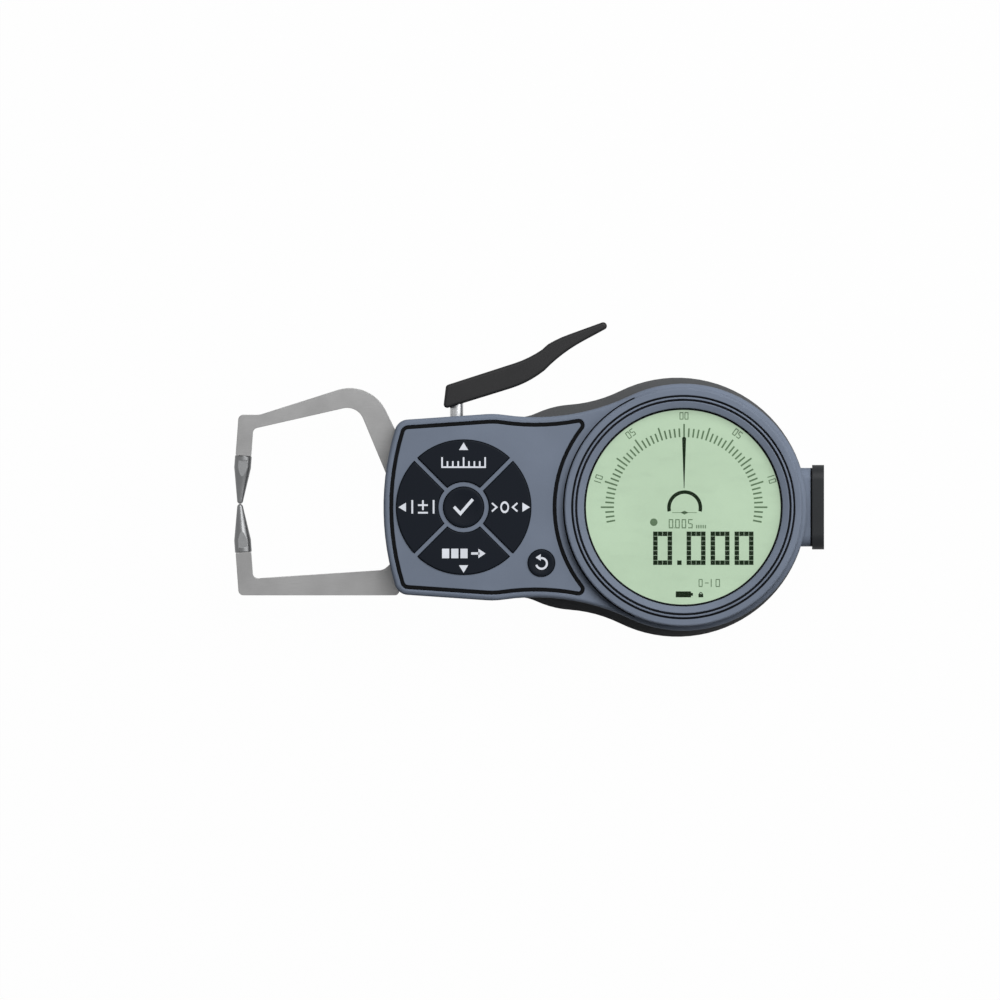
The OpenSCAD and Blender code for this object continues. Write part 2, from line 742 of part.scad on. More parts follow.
// Encoder
read_head_l = 6;
module read_head() {
    color("#3a3d42") translate([pivot.x + scale_r - read_head_l, -6, arm_top + scale_t + run_gap])
        cube([read_head_l + 1, 12, board_low - arm_top - scale_t - run_gap]);
}

module scale_sector() {
    wedge = 1.5 * scale_r;
    color("#c9ccd0") translate([pivot.x, pivot.y, arm_top]) linear_extrude(scale_t) difference() {
        union() {
            circle(r = hub_boss_r);
            intersection() {
                circle(r = scale_r);
                polygon([origin, polar(origin, wedge, -scale_half_angle),
                    polar(origin, wedge, scale_half_angle)]);
            }
        }
        circle(r = hub_d / 2 + fit_gap);
    }
}

// Moving lever
stem_foot = hub_d / 2 + 1;
stem_top = lever_height + 4;

module stem_rod(r, from, to) {
    translate([pivot.x, from, parting]) rotate([-90, 0, 0]) cylinder(r = r, h = to - from);
}

module moving_arm() {
    color(steel) difference() {
        slab(moving_arm_rounds, arm_height, arm_top);
        post(pivot, hub_d / 2 + fit_gap, arm_height - pass, arm_top + pass);
        stem_rod(stem_d / 2 + press_gap, stem_foot, hub_boss_r + pass);
        contact_stud(1, press_gap);
    }
}

hub_flange_t = 1.5;
module arm_hub() {
    color("#b9bcc0") translate([pivot.x, pivot.y, 0]) difference() {
        union() {
            cylinder_between(hub_boss_r - 0.5, arm_height - hub_flange_t, arm_height);
            cylinder_between(hub_d / 2, arm_height - hub_flange_t, arm_top + scale_t + nut_t);
        }
        cylinder_between(shaft_d / 2 + press_gap, 0, bridge_top);
    }
}

module cylinder_between(r, low, high) {
    translate([0, 0, low]) cylinder(r = r, h = high - low);
}

module hub_nut() {
    low = arm_top + scale_t;
    color(brass) translate([pivot.x, pivot.y, 0]) difference() {
        translate([0, 0, low]) cylinder(r = hub_boss_r - 0.4, h = nut_t, $fn = 6);
        cylinder_between(hub_d / 2 + press_gap, 0, bridge_top);
    }
}

retainer_t = 0.5;
shaft_low = chassis_low - retainer_t - 0.3;
shaft_top = bridge_top + 0.2;

module pivot_shaft() {
    color("#d0d2d4") post(pivot, shaft_d / 2, shaft_low, shaft_top);
}

module shaft_retainer() {
    color("#44474a") translate([pivot.x, pivot.y, 0])
        ring(shaft_d / 2 + 0.7, shaft_d / 2 + press_gap, chassis_low - retainer_t, chassis_low - 0.05);
}

// Bearings: the rear one sits in the chassis and the front one in the bridge
ball_r = 0.6;
ball_count = 7;
pitch_r = (shaft_d + bearing_d) / 4;
race_gap = 0.3;
bearing_lows = [chassis_top - bearing_w, bridge_low];

module bearing_ring(outer, inner) {
    for (low = bearing_lows) translate([pivot.x, pivot.y, low]) difference() {
        ring(outer, inner, 0, bearing_w);
        translate([0, 0, bearing_w / 2]) rotate_extrude() translate([pitch_r, 0])
            circle(r = ball_r + press_gap);
    }
}

module bearing_outer_races() {
    color("#c4c6c8") bearing_ring(bearing_d / 2, pitch_r + race_gap);
}

module bearing_inner_races() {
    color("#c4c6c8") bearing_ring(pitch_r - race_gap, shaft_d / 2 + press_gap);
}

module bearing_balls() {
    color("#e4e6e8") for (low = bearing_lows, i = [0:ball_count - 1])
        translate([pivot.x + pitch_r * cos(360 * i / ball_count),
            pivot.y + pitch_r * sin(360 * i / ball_count), low + bearing_w / 2]) sphere(r = ball_r);
}

// Measuring spring: one wire wound round the shaft between the chassis and the hub flange
spring_turns = 2;
spring_r = 5.2;
spring_rings = 16;
spring_sides = 6;
spring_low = chassis_top + spring_wire / 2 + 0.1;
spring_high = arm_height - hub_flange_t - spring_wire / 2 - 0.1;
spring_steps = spring_turns * spring_rings;
spring_pitch = (spring_high - spring_low) / spring_turns;
function spring_point(i, side) =
    let (turn = 360 * i / spring_rings, tilt = 360 * side / spring_sides)
    let (out = spring_r + spring_wire / 2 * cos(tilt))
    [pivot.x + out * cos(turn), pivot.y + out * sin(turn),
        spring_low + spring_pitch * i / spring_rings + spring_wire / 2 * sin(tilt)];
echo(least_gap_between_spring_turns = spring_pitch - spring_wire);

module measuring_spring() {
    points = [for (i = [0:spring_steps], s = [0:spring_sides - 1]) spring_point(i, s)];
    walls = [for (i = [0:spring_steps - 1], s = [0:spring_sides - 1])
        let (a = i * spring_sides + s, b = i * spring_sides + (s + 1) % spring_sides)
        each [[a, b, b + spring_sides], [a, b + spring_sides, a + spring_sides]]];
    first = [for (s = [spring_sides - 1:-1:0]) s];
    end = [for (s = [0:spring_sides - 1]) spring_steps * spring_sides + s];
    color("#8f9296") polyhedron(points, concat([first, end], walls), convexity = 10);
}

// Stops beside the scale sector for the closed and the open end of the travel
stop_r = 1.2;
stop_reach = 14;
stop_offset = asin((stop_r + run_gap) / stop_reach);
stop_angles = [scale_half_angle + stop_offset, -scale_half_angle - open_angle - stop_offset];
stop_top = arm_top + scale_t;

module travel_stops() {
    color("#d0d2d4") for (a = stop_angles)
        post(polar(pivot, stop_reach, a), stop_r, chassis_low + 1, stop_top);
}

// Chassis, which carries the pivot, the bridge and the fixed arm
chassis_left = -end_reach + wall + 0.9;
chassis_right = pivot.x + scale_r - 3.5;
chassis_corner_r = 3;
chassis_low_y = root_low + chassis_corner_r;
chassis_rounds = [
    [chassis_right - chassis_corner_r, -7.5, chassis_corner_r],
    [chassis_right - chassis_corner_r, 9.5, chassis_corner_r],
    [pivot.x - 7, 9, chassis_corner_r],
    [chassis_left + chassis_corner_r, 4, chassis_corner_r],
    [bow_x - leg(end_bow_r - wall - run_gap - chassis_corner_r, chassis_low_y), chassis_low_y,
        chassis_corner_r],
    [root_right - root_r, chassis_low_y, chassis_corner_r]
];
pad_left = root_left + 2;
pad_rounds = [
    [root_right - root_r, root_low + root_r, root_r],
    [root_right - root_r, root_high - root_r, root_r],
    [pad_left + root_r, root_high - root_r, root_r],
    [pad_left + root_r, root_low + root_r, root_r]
];
chassis_boss_r = 2.2;
chassis_bosses = [[chassis_right - 3, 8.5], [chassis_right - 3, -7], [pivot.x - 7, 8.5],
    [chassis_left + 3.2, -4]];
chassis_screw_low = back_wall - 1;
bridge_legs = [[pivot.x + 8.6, -10.2], [pivot.x + 8.6, 10.2], [pivot.x - 9.2, -8]];
bridge_leg_r = 2.3;
root_mid = [(pad_left + root_right) / 2, (root_low + root_high) / 2];
arm_screws_at = [root_mid + [-3, -1.15], root_mid + [3, 1.15]];
arm_dowels_at = [root_mid + [0.6, -1.75], root_mid + [-0.6, 1.75]];
thread_depth = 4;
dowel_depth = 3;

module chassis() {
    color("#a7abb0") difference() {
        union() {
            slab(chassis_rounds, chassis_low, chassis_top);
            slab(pad_rounds, chassis_top - sink, arm_height);
            for (c = bridge_legs) post(c, bridge_leg_r + 0.6, chassis_low, chassis_top);
        }
        post(pivot, bearing_d / 2 + press_gap, chassis_top - bearing_w, chassis_top + pass);
        post(pivot, pitch_r + race_gap, chassis_low - pass, chassis_top);
        for (c = chassis_bosses)
            post(c, small_screw_d / 2 + fit_gap, chassis_low - pass, chassis_top + pass);
        for (c = arm_screws_at)
            post(c, arm_screw_d / 2 + press_gap, arm_height - thread_depth, arm_height + pass);
        for (c = arm_dowels_at)
            post(c, arm_screw_d / 2 + press_gap, arm_height - dowel_depth, arm_height + pass);
        for (c = bridge_legs)
            post(c, arm_screw_d / 2 + press_gap, chassis_low - pass, chassis_top + pass);
        for (a = stop_angles)
            post(polar(pivot, stop_reach, a), stop_r + press_gap, chassis_low + 1, chassis_top + pass);
    }
}

module chassis_screws() {
    color(steel) for (c = chassis_bosses) {
        post(c, small_screw_d * head_share, chassis_top, chassis_top + 1);
        post(c, small_screw_d / 2, chassis_screw_low + bottom_gap, chassis_top + 0.1);
    }
}

bridge_rounds = [
    [bridge_legs[0].x, bridge_legs[0].y, 4],
    [bridge_legs[1].x, bridge_legs[1].y, 4],
    [pivot.x, pivot.y, bearing_d / 2 + 2.6],
    [bridge_legs[2].x, bridge_legs[2].y, 4]
];
bridge_head_t = 1.4;

module bearing_bridge() {
    color("#a7abb0") difference() {
        union() {
            slab(bridge_rounds, bridge_low, bridge_top);
            for (c = bridge_legs) post(c, bridge_leg_r, chassis_top, bridge_low + sink);
        }
        post(pivot, bearing_d / 2 + press_gap, bridge_low - pass, bridge_top + pass);
        for (c = bridge_legs) {
            post(c, arm_screw_d / 2 + fit_gap, chassis_top - pass, bridge_top + pass);
            post(c, arm_screw_d * head_share + fit_gap, bridge_top - bridge_head_t, bridge_top + pass);
        }
    }
}

module bridge_screws() {
    color(steel) for (c = bridge_legs) {
        post(c, arm_screw_d * head_share, bridge_top - bridge_head_t, bridge_top - 0.1);
        post(c, arm_screw_d / 2, chassis_low + 0.3, bridge_top - bridge_head_t + 0.1);
    }
}

module fixed_arm() {
    color(steel) difference() {
        slab(fixed_arm_rounds, arm_height, arm_top);
        for (c = arm_screws_at) {
            post(c, arm_screw_d / 2 + fit_gap, arm_height - pass, arm_top + pass);
            post(c, arm_screw_d * head_share + fit_gap, arm_top - bridge_head_t, arm_top + pass);
        }
        for (c = arm_dowels_at) post(c, arm_screw_d / 2 + press_gap, arm_height - pass, arm_top + pass);
        contact_stud(-1, press_gap);
    }
}

module fixed_arm_screws() {
    color("#3d4043") for (c = arm_screws_at) {
        post(c, arm_screw_d * head_share, arm_top - bridge_head_t, arm_top - 0.1);
        post(c, arm_screw_d / 2, arm_height - thread_depth + bottom_gap, arm_top - bridge_head_t + 0.1);
    }
}

module fixed_arm_dowels() {
    color("#d0d2d4") for (c = arm_dowels_at)
        post(c, arm_screw_d / 2, arm_height - dowel_depth, arm_top - bottom_gap);
}

// Contacts: turned pins with a collar, two spanner flats, a long cone and a ball end
stud_r = 1;
stud_l = 4;
collar_l = 3.1;
flat_half = 1.76;
flat_start = 1.2;

// Frame of a contact: the origin is the ball's end, and +Z runs up the pin; side is 1 for the upper one
function lift(side) = side > 0 ? jaw_gap : 0;
module at_contact(side) {
    translate([contact.x, contact.y + lift(side), parting]) mirror([0, side > 0 ? 0 : 1, 0])
        rotate([0, 0, -leg_lean]) rotate([-90, 0, 0]) children();
}

pin_l = contact_length / cos(leg_lean);

module contact_stud(side, grow) {
    at_contact(side) translate([0, 0, pin_l - sink]) cylinder(r = stud_r + grow, h = stud_l + sink + grow);
}

module contact_pin(side) {
    cone_top = pin_l - collar_l;
    seat = pin_l - 0.1 - lift(side);
    ball = [for (a = [-90:15:0]) [tip_r * cos(a), tip_r + tip_r * sin(a)]];
    at_contact(side) difference() {
        union() {
            rotate_extrude() polygon(concat([[0, 0]], [for (p = ball) if (p.x > 0.001) p],
                [[tip_r, tip_r], [contact_r, cone_top], [contact_r, seat], [0, seat]]));
            translate([0, 0, pin_l - sink]) cylinder(r = stud_r, h = stud_l + 0.4);
        }
        for (s = [-1, 1]) translate([-contact_r - pass, s * (flat_half + contact_r) - contact_r, tip_r])
            cube([2 * contact_r + 2 * pass, 2 * contact_r, pin_l - flat_start - tip_r]);
    }
}

module upper_contact() { color("#7d7f80") contact_pin(1); }
module lower_contact() { color("#7d7f80") contact_pin(-1); }

module lever_stem() {
    color("#b4b6b8") stem_rod(stem_d / 2, stem_foot, stem_top);
}

module thumb_lever() {
    half = lever_w / 2;
    edge = [for (a = [0:30:90]) [lever_edge_r * (1 - sin(a)), half - lever_edge_r * (1 - cos(a))]];
    levels = concat([for (v = edge) [parting - v[1], v[0]]],
        [for (i = [len(edge) - 1:-1:0]) [parting + edge[i][1], edge[i][0]]]);
    color("#333333") difference() {
        loft(lever_rounds, levels);
        stem_rod(stem_d / 2 + press_gap, lever_height - pass, stem_top + press_gap);
    }
}

// Battery neck
cap_reach = neck_reach + cap_gasket_t;
spigot_l = 2.5;
cap_screw_y = neck_half - neck_side_wall / 2;
cap_screw_z = (neck_low + neck_high) / 2;
cap_screw_l = 7;
pack_gap = 0.3;
contact_leaf_t = 0.6;
well_start = sleeve_inner_end + neck_wall;

module cap_screw_bar(r, from, to) {
    for (s = [-1, 1]) translate([from, s * cap_screw_y, cap_screw_z]) rotate([0, 90, 0])
        cylinder(r = r, h = to - from);
}

module battery_sleeve() {
    color(shell_grey) difference() {
        bar_along_x(neck_rounds, sleeve_inner_end, neck_reach);
        bar_along_x(well_rounds, well_start, neck_reach + pass);
        cap_screw_bar(small_screw_d / 2 + press_gap, neck_reach - cap_screw_l - 0.5, neck_reach + pass);
    }
}

module battery_pack() {
    color("#3f6fa8") bar_along_x(well_rounds, well_start + contact_leaf_t, neck_reach - spigot_l, pack_gap);
}

module battery_contacts() {
    leaf_w = 4;
    leaf_h = 6;
    color(brass) for (s = [-1, 1])
        translate([well_start, s * 3.5 - leaf_w / 2, cap_screw_z - leaf_h / 2])
            cube([contact_leaf_t, leaf_w, leaf_h]);
}

module battery_cap() {
    head_t = 1.3;
    color("#2a2c2e") difference() {
        union() {
            bar_along_x(neck_rounds, cap_reach, cap_reach + cap_t, -cap_overhang);
            bar_along_x(well_rounds, neck_reach - spigot_l, cap_reach + sink, fit_gap);
        }
        cap_screw_bar(small_screw_d / 2 + fit_gap, cap_reach - pass, cap_reach + cap_t + pass);
        cap_screw_bar(small_screw_d * head_share + fit_gap, cap_reach + cap_t - head_t,
            cap_reach + cap_t + pass);
    }
}

module cap_gasket() {
    color(rubber_black) difference() {
        bar_along_x(neck_rounds, neck_reach, cap_reach);
        bar_along_x(well_rounds, neck_reach - pass, cap_reach + pass);
        cap_screw_bar(small_screw_d / 2 + fit_gap, neck_reach - pass, cap_reach + pass);
    }
}

module cap_screws() {
    head_t = 1.3;
    color(steel) {
        cap_screw_bar(small_screw_d * head_share, cap_reach + cap_t - head_t, cap_reach + cap_t - 0.2);
        cap_screw_bar(small_screw_d / 2, neck_reach - cap_screw_l, cap_reach + cap_t - head_t + 0.1);
    }
}

rear_housing();
front_housing();
housing_seal();
housing_screws();
display_bezel();
display_window();
window_gasket();
lcd_panel();
lcd_frame();
backlight();
lcd_connector();
keypad_plate();
keypad_seal();
up_key();
left_key();
down_key();
right_key();
centre_key();
return_key();
key_mat();
main_board();
board_screws();
board_chips();
read_head();
scale_sector();
moving_arm();
arm_hub();
hub_nut();
pivot_shaft();
shaft_retainer();
bearing_outer_races();
bearing_inner_races();
bearing_balls();
measuring_spring();
travel_stops();
chassis();
chassis_screws();
bearing_bridge();
bridge_screws();
fixed_arm();
fixed_arm_screws();
fixed_arm_dowels();
upper_contact();
lower_contact();
lever_stem();
thumb_lever();
battery_sleeve();
battery_pack();
battery_contacts();
battery_cap();
cap_gasket();
cap_screws();
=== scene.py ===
import json
import math

import bmesh
import bpy
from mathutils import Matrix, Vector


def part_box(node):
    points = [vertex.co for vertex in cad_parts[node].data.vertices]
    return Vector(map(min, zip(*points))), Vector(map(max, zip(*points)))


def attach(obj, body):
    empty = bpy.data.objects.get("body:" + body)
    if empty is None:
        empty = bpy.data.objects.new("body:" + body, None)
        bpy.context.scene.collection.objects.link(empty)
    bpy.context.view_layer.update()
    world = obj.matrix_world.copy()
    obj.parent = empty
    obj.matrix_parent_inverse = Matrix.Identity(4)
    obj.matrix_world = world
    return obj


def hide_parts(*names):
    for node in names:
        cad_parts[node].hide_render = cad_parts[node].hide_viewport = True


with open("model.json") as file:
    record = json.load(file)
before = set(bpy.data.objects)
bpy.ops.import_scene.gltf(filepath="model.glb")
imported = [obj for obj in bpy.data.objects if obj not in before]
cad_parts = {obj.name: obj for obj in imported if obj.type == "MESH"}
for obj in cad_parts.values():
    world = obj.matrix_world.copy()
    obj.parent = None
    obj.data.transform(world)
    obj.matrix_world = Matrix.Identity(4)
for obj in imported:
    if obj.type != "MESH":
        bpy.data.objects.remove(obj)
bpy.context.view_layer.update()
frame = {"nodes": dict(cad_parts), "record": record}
nodes = frame["nodes"]
record = frame["record"]
MM = 0.001

body_of = {n: body for body, names in record["behaviour"]["bodies"].items() for n in names}
slot_of = {part["node"]: part["material_slot"] for part in record["subparts"]}
HOUSING = "gauge_body"

# Sizes that several pieces share, in millimetres: where the contacts meet, how far their flats lie from
# the middle, the top of the housing's deck, and how thick print is
CONTACT = (-111.2, 0.8, 13.2)
CONTACT_FLAT = 1.76
DECK_TOP = 26.4
FILM = 0.03

# Angles of the points on a rounded edge, from its side to its top
EDGE_STEPS = [math.radians(d) for d in (0, 30, 60, 90)]

WHITE = (1.0, 1.0, 1.0, 1.0)
BLACK = (0.0, 0.0, 0.0, 1.0)


def paint(red, green, blue):
    """A colour as it is seen on a screen, 0 to 255, as the colour a shader takes."""
    parts = []
    for level in (red, green, blue):
        share = level / 255
        parts.append(share / 12.92 if share <= 0.04045 else ((share + 0.055) / 1.055) ** 2.4)
    return (*parts, 1.0)


def toned(colour, by):
    """The colour made lighter or darker by a factor."""
    return (*(min(1.0, part * by) for part in colour[:3]), 1.0)


class Value:
    """A node's output that takes part in arithmetic: an expression adds its Math nodes."""

    def __init__(self, tree, socket):
        self.tree = tree
        self.socket = socket

    def maths(self, operation, first, second=0.0):
        return self.tree.node("ShaderNodeMath", {"operation": operation}, {0: first, 1: second})

    def __add__(self, other):
        return self.maths("ADD", self, other)

    def __sub__(self, other):
        return self.maths("SUBTRACT", self, other)

    def __rsub__(self, other):
        return self.maths("SUBTRACT", other, self)

    def __mul__(self, other):
        return self.maths("MULTIPLY", self, other)

    def __mod__(self, other):
        return self.maths("FLOORED_MODULO", self, other)

    def below(self, limit):
        return self.maths("LESS_THAN", self, limit)

    def rise(self, low, high):
        """0 below low, 1 above high, smooth between."""
        return self.tree.node("ShaderNodeMapRange", {"interpolation_type": "SMOOTHSTEP"},
                              {0: self, 1: low, 2: high})


class Tree:
    """A node tree to which one call adds a node with its settings and its links."""

    def __init__(self, node_tree):
        self.node_tree = node_tree

    def node(self, kind, settings=None, inputs=None, output=0):
        made = self.node_tree.nodes.new(kind)
        for name, value in (settings or {}).items():
            setattr(made, name, value)
        for key, value in (inputs or {}).items():
            if isinstance(value, Value):
                self.node_tree.links.new(value.socket, made.inputs[key])
            else:
                made.inputs[key].default_value = value
        return Value(self, made.outputs[output])


class Finish(Tree):
    """A material on one Principled shader, with patterns that follow the piece's own coordinates."""

    def __init__(self, name, fixed=None):
        self.material = bpy.data.materials.new(name)
        self.material.use_nodes = True
        super().__init__(self.material.node_tree)
        self.shader = self.node_tree.nodes["Principled BSDF"]
        self.place = self.node("ShaderNodeTexCoord", output="Object")
        for socket, value in (fixed or {}).items():
            self.shader.inputs[socket].default_value = value

    def noise(self, size, detail=2.0, stretch=(1.0, 1.0, 1.0)):
        spread = self.node("ShaderNodeMapping", inputs={
            "Vector": self.place, "Scale": tuple(part / size for part in stretch)})
        return self.node("ShaderNodeTexNoise", inputs={"Vector": spread, "Scale": 1.0, "Detail": detail})

    def axis(self, letter):
        return self.node("ShaderNodeSeparateXYZ", inputs={0: self.place}, output=letter)

    def mix(self, factor, first, second):
        return self.node("ShaderNodeMix", {"data_type": "RGBA"}, {0: factor, 6: first, 7: second}, output=2)

    def soft_edges(self, radius):
        """A normal that rounds sharp edges, and a mask of those edges."""
        soft = self.node("ShaderNodeBevel", {"samples": 6}, {"Radius": radius})
        plain = self.node("ShaderNodeNewGeometry", output="Normal")
        match = self.node("ShaderNodeVectorMath", {"operation": "DOT_PRODUCT"}, {0: soft, 1: plain},
                          output="Value")
        return soft, 1.0 - match

    def set(self, socket, value):
        self.node_tree.links.new(value.socket, self.shader.inputs[socket])

    def relief(self, height, depth, under):
        bump = self.node("ShaderNodeBump", inputs={
            "Strength": 1.0, "Distance": depth, "Height": height, "Normal": under})
        self.set("Normal", bump)


def moulded(name, colour, worn, rough, grain=0.22 * MM, depth=0.012 * MM, edge=0.25 * MM, wear=0.35,
            shine=0.3):
    """Moulded plastic or rubber: spark-eroded grain, slow drift of colour, rubbed edges."""
    f = Finish(name, {"Specular IOR Level": shine})
    soft, rim = f.soft_edges(edge)
    drift = f.noise(16 * MM, 3.0)
    speck = f.noise(grain, 2.0)
    rub = f.noise(2.5 * MM, 4.0)
    rubbed = rim.rise(0.04, 0.3) * rub.rise(0.38, 0.62) * wear
    base = f.mix(drift.rise(0.3, 0.7), toned(colour, 0.95), toned(colour, 1.05))
    base = f.mix(speck.rise(0.5, 0.7) * 0.3, base, toned(colour, 0.8))
    f.set("Base Color", f.mix(rubbed, base, worn))
    f.set("Roughness", (drift - 0.5) * 0.16 + (speck - 0.5) * 0.12 + rough - rubbed * 0.2)
    f.relief(speck, depth, soft)
    return f.material


def ground(name, colour, rough, stretch, line=0.11 * MM, depth=0.003 * MM, edge=0.2 * MM, flats=None):
    """Ground, turned or drawn metal: fine lines along one way, faint stains, bright edges.

    flats gives the height of a piece's middle and how far above and below it two lighter faces lie.
    """
    f = Finish(name, {"Metallic": 1.0})
    soft, rim = f.soft_edges(edge)
    lines = f.noise(line, 2.0, stretch)
    stain = f.noise(9 * MM, 4.0)
    bright = rim.rise(0.03, 0.25) * f.noise(1.5 * MM, 3.0).rise(0.35, 0.6)
    base = f.mix(stain.rise(0.3, 0.7), toned(colour, 0.93), toned(colour, 1.05))
    base = f.mix(lines.rise(0.45, 0.75) * 0.35, base, toned(colour, 0.78))
    if flats:
        height = f.axis("Z") - flats[0] * MM
        off = height.maths("ABSOLUTE", height) - flats[1] * MM
        base = f.mix(off.maths("ABSOLUTE", off).below(0.01 * MM), base, toned(colour, 1.15))
    f.set("Base Color", f.mix(bright * 0.5, base, toned(colour, 1.35)))
    f.set("Roughness", (lines - 0.5) * 0.22 + (stain - 0.5) * 0.1 + rough - bright * 0.08)
    f.relief(lines, depth, soft)
    return f.material


def display_green():
    """Face of the liquid crystal panel: pale green with a faint grid of cells, most of its colour given as
    glow, which is painted light.
    """
    colour = paint(191, 216, 187)
    f = Finish("display_green", {"Specular IOR Level": 0.15, "Emission Strength": 0.69})
    pitch = 0.46 * MM
    gaps = [(f.axis(letter) * (1 / pitch) % 1.0).below(0.14) for letter in "XY"]
    drift = f.noise(20 * MM, 2.0)
    haze = f.noise(0.9 * MM, 2.0)
    base = f.mix(drift.rise(0.3, 0.7), toned(colour, 0.97), toned(colour, 1.03))
    base = f.mix((gaps[0] + gaps[1]) * 0.05 + haze * 0.04, base, toned(colour, 0.7))
    # Painted light: most of the face's colour glows instead of being reflected, which lifts the shade the
    # bezel casts on the panel
    f.set("Emission Color", base)
    glow_share = 0.73
    f.set("Base Color", f.mix(glow_share, base, BLACK))
    f.set("Roughness", haze * 0.2 + 0.4)
    return f.material


def ink(name, colour, rough=0.6):
    """Printed or switched mark, thin enough that its ground shows at the edges of the grain."""
    f = Finish(name, {"Specular IOR Level": 0.04})
    grain = f.noise(0.16 * MM, 2.0)
    drift = f.noise(6 * MM, 2.0)
    base = f.mix(drift.rise(0.3, 0.7), toned(colour, 0.93), toned(colour, 1.07))
    f.set("Base Color", f.mix(grain.rise(0.55, 0.75) * 0.25, base, toned(colour, 1.4)))
    f.set("Roughness", grain * 0.2 + rough)
    return f.material


def clear_window():
    """Clear window: nearly all see-through, with a trace of smears and hairline scratches."""
    f = Finish("clear_window", {"Base Color": (0.02, 0.03, 0.025, 1.0), "IOR": 1.49})
    smear = f.noise(7 * MM, 3.0, (1.0, 2.5, 1.0))
    hair = f.noise(0.09 * MM, 1.0, (1.0, 0.02, 1.0))
    f.set("Alpha", smear.rise(0.45, 0.8) * 0.02 + hair.rise(0.72, 0.8) * 0.03 + 0.03)
    f.set("Roughness", smear * 0.08 + 0.03)
    return f.material


def laminate():
    """Circuit board: solder mask over tracks."""
    colour = paint(29, 90, 58)
    f = Finish("board_laminate", {"Coat Weight": 0.4})
    tracks = [(f.axis(letter) * (1 / (1.6 * MM)) % 1.0).below(0.3) for letter in "XY"]
    weave = f.noise(0.5 * MM, 2.0)
    patch = f.noise(5 * MM, 1.0).rise(0.45, 0.5)
    lines = tracks[0] * patch + tracks[1] * (1.0 - patch)
    f.set("Base Color", f.mix(lines * 0.5, toned(colour, 0.9), toned(colour, 1.5)))
    f.set("Roughness", weave * 0.2 + 0.3)
    return f.material


shell_grey = paint(107, 116, 131)
finishes = {
    "shell_plastic": moulded("shell_plastic", shell_grey, paint(150, 157, 168), 0.5, shine=0.06),
    "grip_plastic": moulded("grip_plastic", paint(76, 77, 78), paint(104, 105, 106), 0.62, 0.3 * MM,
                            0.02 * MM, shine=0.2),
    "cap_plastic": moulded("cap_plastic", paint(32, 34, 36), paint(80, 82, 84), 0.5, shine=0.15),
    "lever_plastic": moulded("lever_plastic", paint(35, 35, 36), paint(88, 88, 88), 0.48, shine=0.15),
    "key_plastic": moulded("key_plastic", paint(14, 19, 27), paint(52, 58, 68), 0.5, 0.16 * MM, 0.006 * MM,
                           shine=0.08),
    "arm_steel": ground("arm_steel", paint(129, 129, 129), 0.42, (0.03, 1.0, 1.0)),
    "contact_steel": ground("contact_steel", paint(113, 114, 115), 0.4, (0.05, 1.0, 0.05), depth=0.001 * MM,
                            flats=(CONTACT[2], CONTACT_FLAT)),
    "stem_steel": ground("stem_steel", paint(178, 179, 180), 0.3, (1.0, 0.04, 1.0)),
    "screw_steel": ground("screw_steel", paint(150, 152, 156), 0.32, (1.0, 1.0, 0.2)),
    "bearing_steel": ground("bearing_steel", paint(196, 198, 202), 0.16, (0.2, 0.2, 1.0)),
    "spring_steel": ground("spring_steel", paint(130, 132, 136), 0.3, (1.0, 1.0, 0.3)),
    "seal_rubber": moulded("seal_rubber", paint(12, 13, 15), paint(36, 36, 38), 0.7, 0.18 * MM, 0.01 * MM,
                           shine=0.06),
    "window_clear": clear_window(),
    "lcd_glass": display_green(),
    "frame_plastic": moulded("frame_plastic", paint(222, 222, 214), paint(238, 238, 232), 0.5),
    "chassis_alloy": ground("chassis_alloy", paint(172, 175, 180), 0.38, (0.04, 1.0, 1.0)),
    "scale_alloy": ground("scale_alloy", paint(204, 206, 210), 0.3, (1.0, 0.04, 1.0)),
    "board_laminate": laminate(),
    "chip_plastic": moulded("chip_plastic", paint(34, 34, 36), paint(64, 64, 66), 0.55),
    "contact_brass": ground("contact_brass", paint(184, 148, 84), 0.3, (1.0, 0.06, 1.0)),
    "battery_wrap": moulded("battery_wrap", paint(66, 112, 168), paint(130, 160, 196), 0.32),
}
dark_ink = ink("dark_ink", paint(24, 38, 22))
pale_ink = ink("pale_ink", paint(96, 120, 92))
white_ink = ink("white_ink", paint(214, 218, 226))
# Black print for the border under the window, also used as painted shade: the rings in the bezel's grooves
# and the line along the foot of the housing's ring
black_print = ink("black_print", paint(14, 16, 20), 0.45)

for name, node in nodes.items():
    for holder in node.material_slots:
        holder.material = finishes[slot_of[name]]


# Making pieces


def new_object(name, data):
    """An object in the scene that shows a mesh, a light or a camera."""
    made = bpy.data.objects.new(name, data)
    bpy.context.scene.collection.objects.link(made)
    return made


def final_mesh(piece):
    """A new mesh with what the piece's modifiers make of it."""
    graph = bpy.context.evaluated_depsgraph_get()
    return bpy.data.meshes.new_from_object(piece.evaluated_get(graph))


def place_piece(name, mesh, finish, degrees=35):
    """A new object at the origin; edges sharper than degrees stay sharp."""
    if not mesh.materials:
        mesh.materials.append(finish)
    mesh.shade_smooth()
    mesh.set_sharp_from_angle(angle=math.radians(degrees))
    return new_object(name, mesh)


def stand_for(piece, node):
    """The piece shows in place of the node, on the node's body."""
    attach(piece, body_of[node])
    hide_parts(node)


def mesh_from(name, points, faces):
    """A mesh from points in millimetres, its faces turned outwards."""
    mesh = bpy.data.meshes.new(name)
    mesh.from_pydata([(x * MM, y * MM, z * MM) for x, y, z in points], [], faces)
    work = bmesh.new()
    work.from_mesh(mesh)
    bmesh.ops.remove_doubles(work, verts=work.verts, dist=1e-7)
    bmesh.ops.recalc_face_normals(work, faces=work.faces)
    work.to_mesh(mesh)
    work.free()
    return mesh


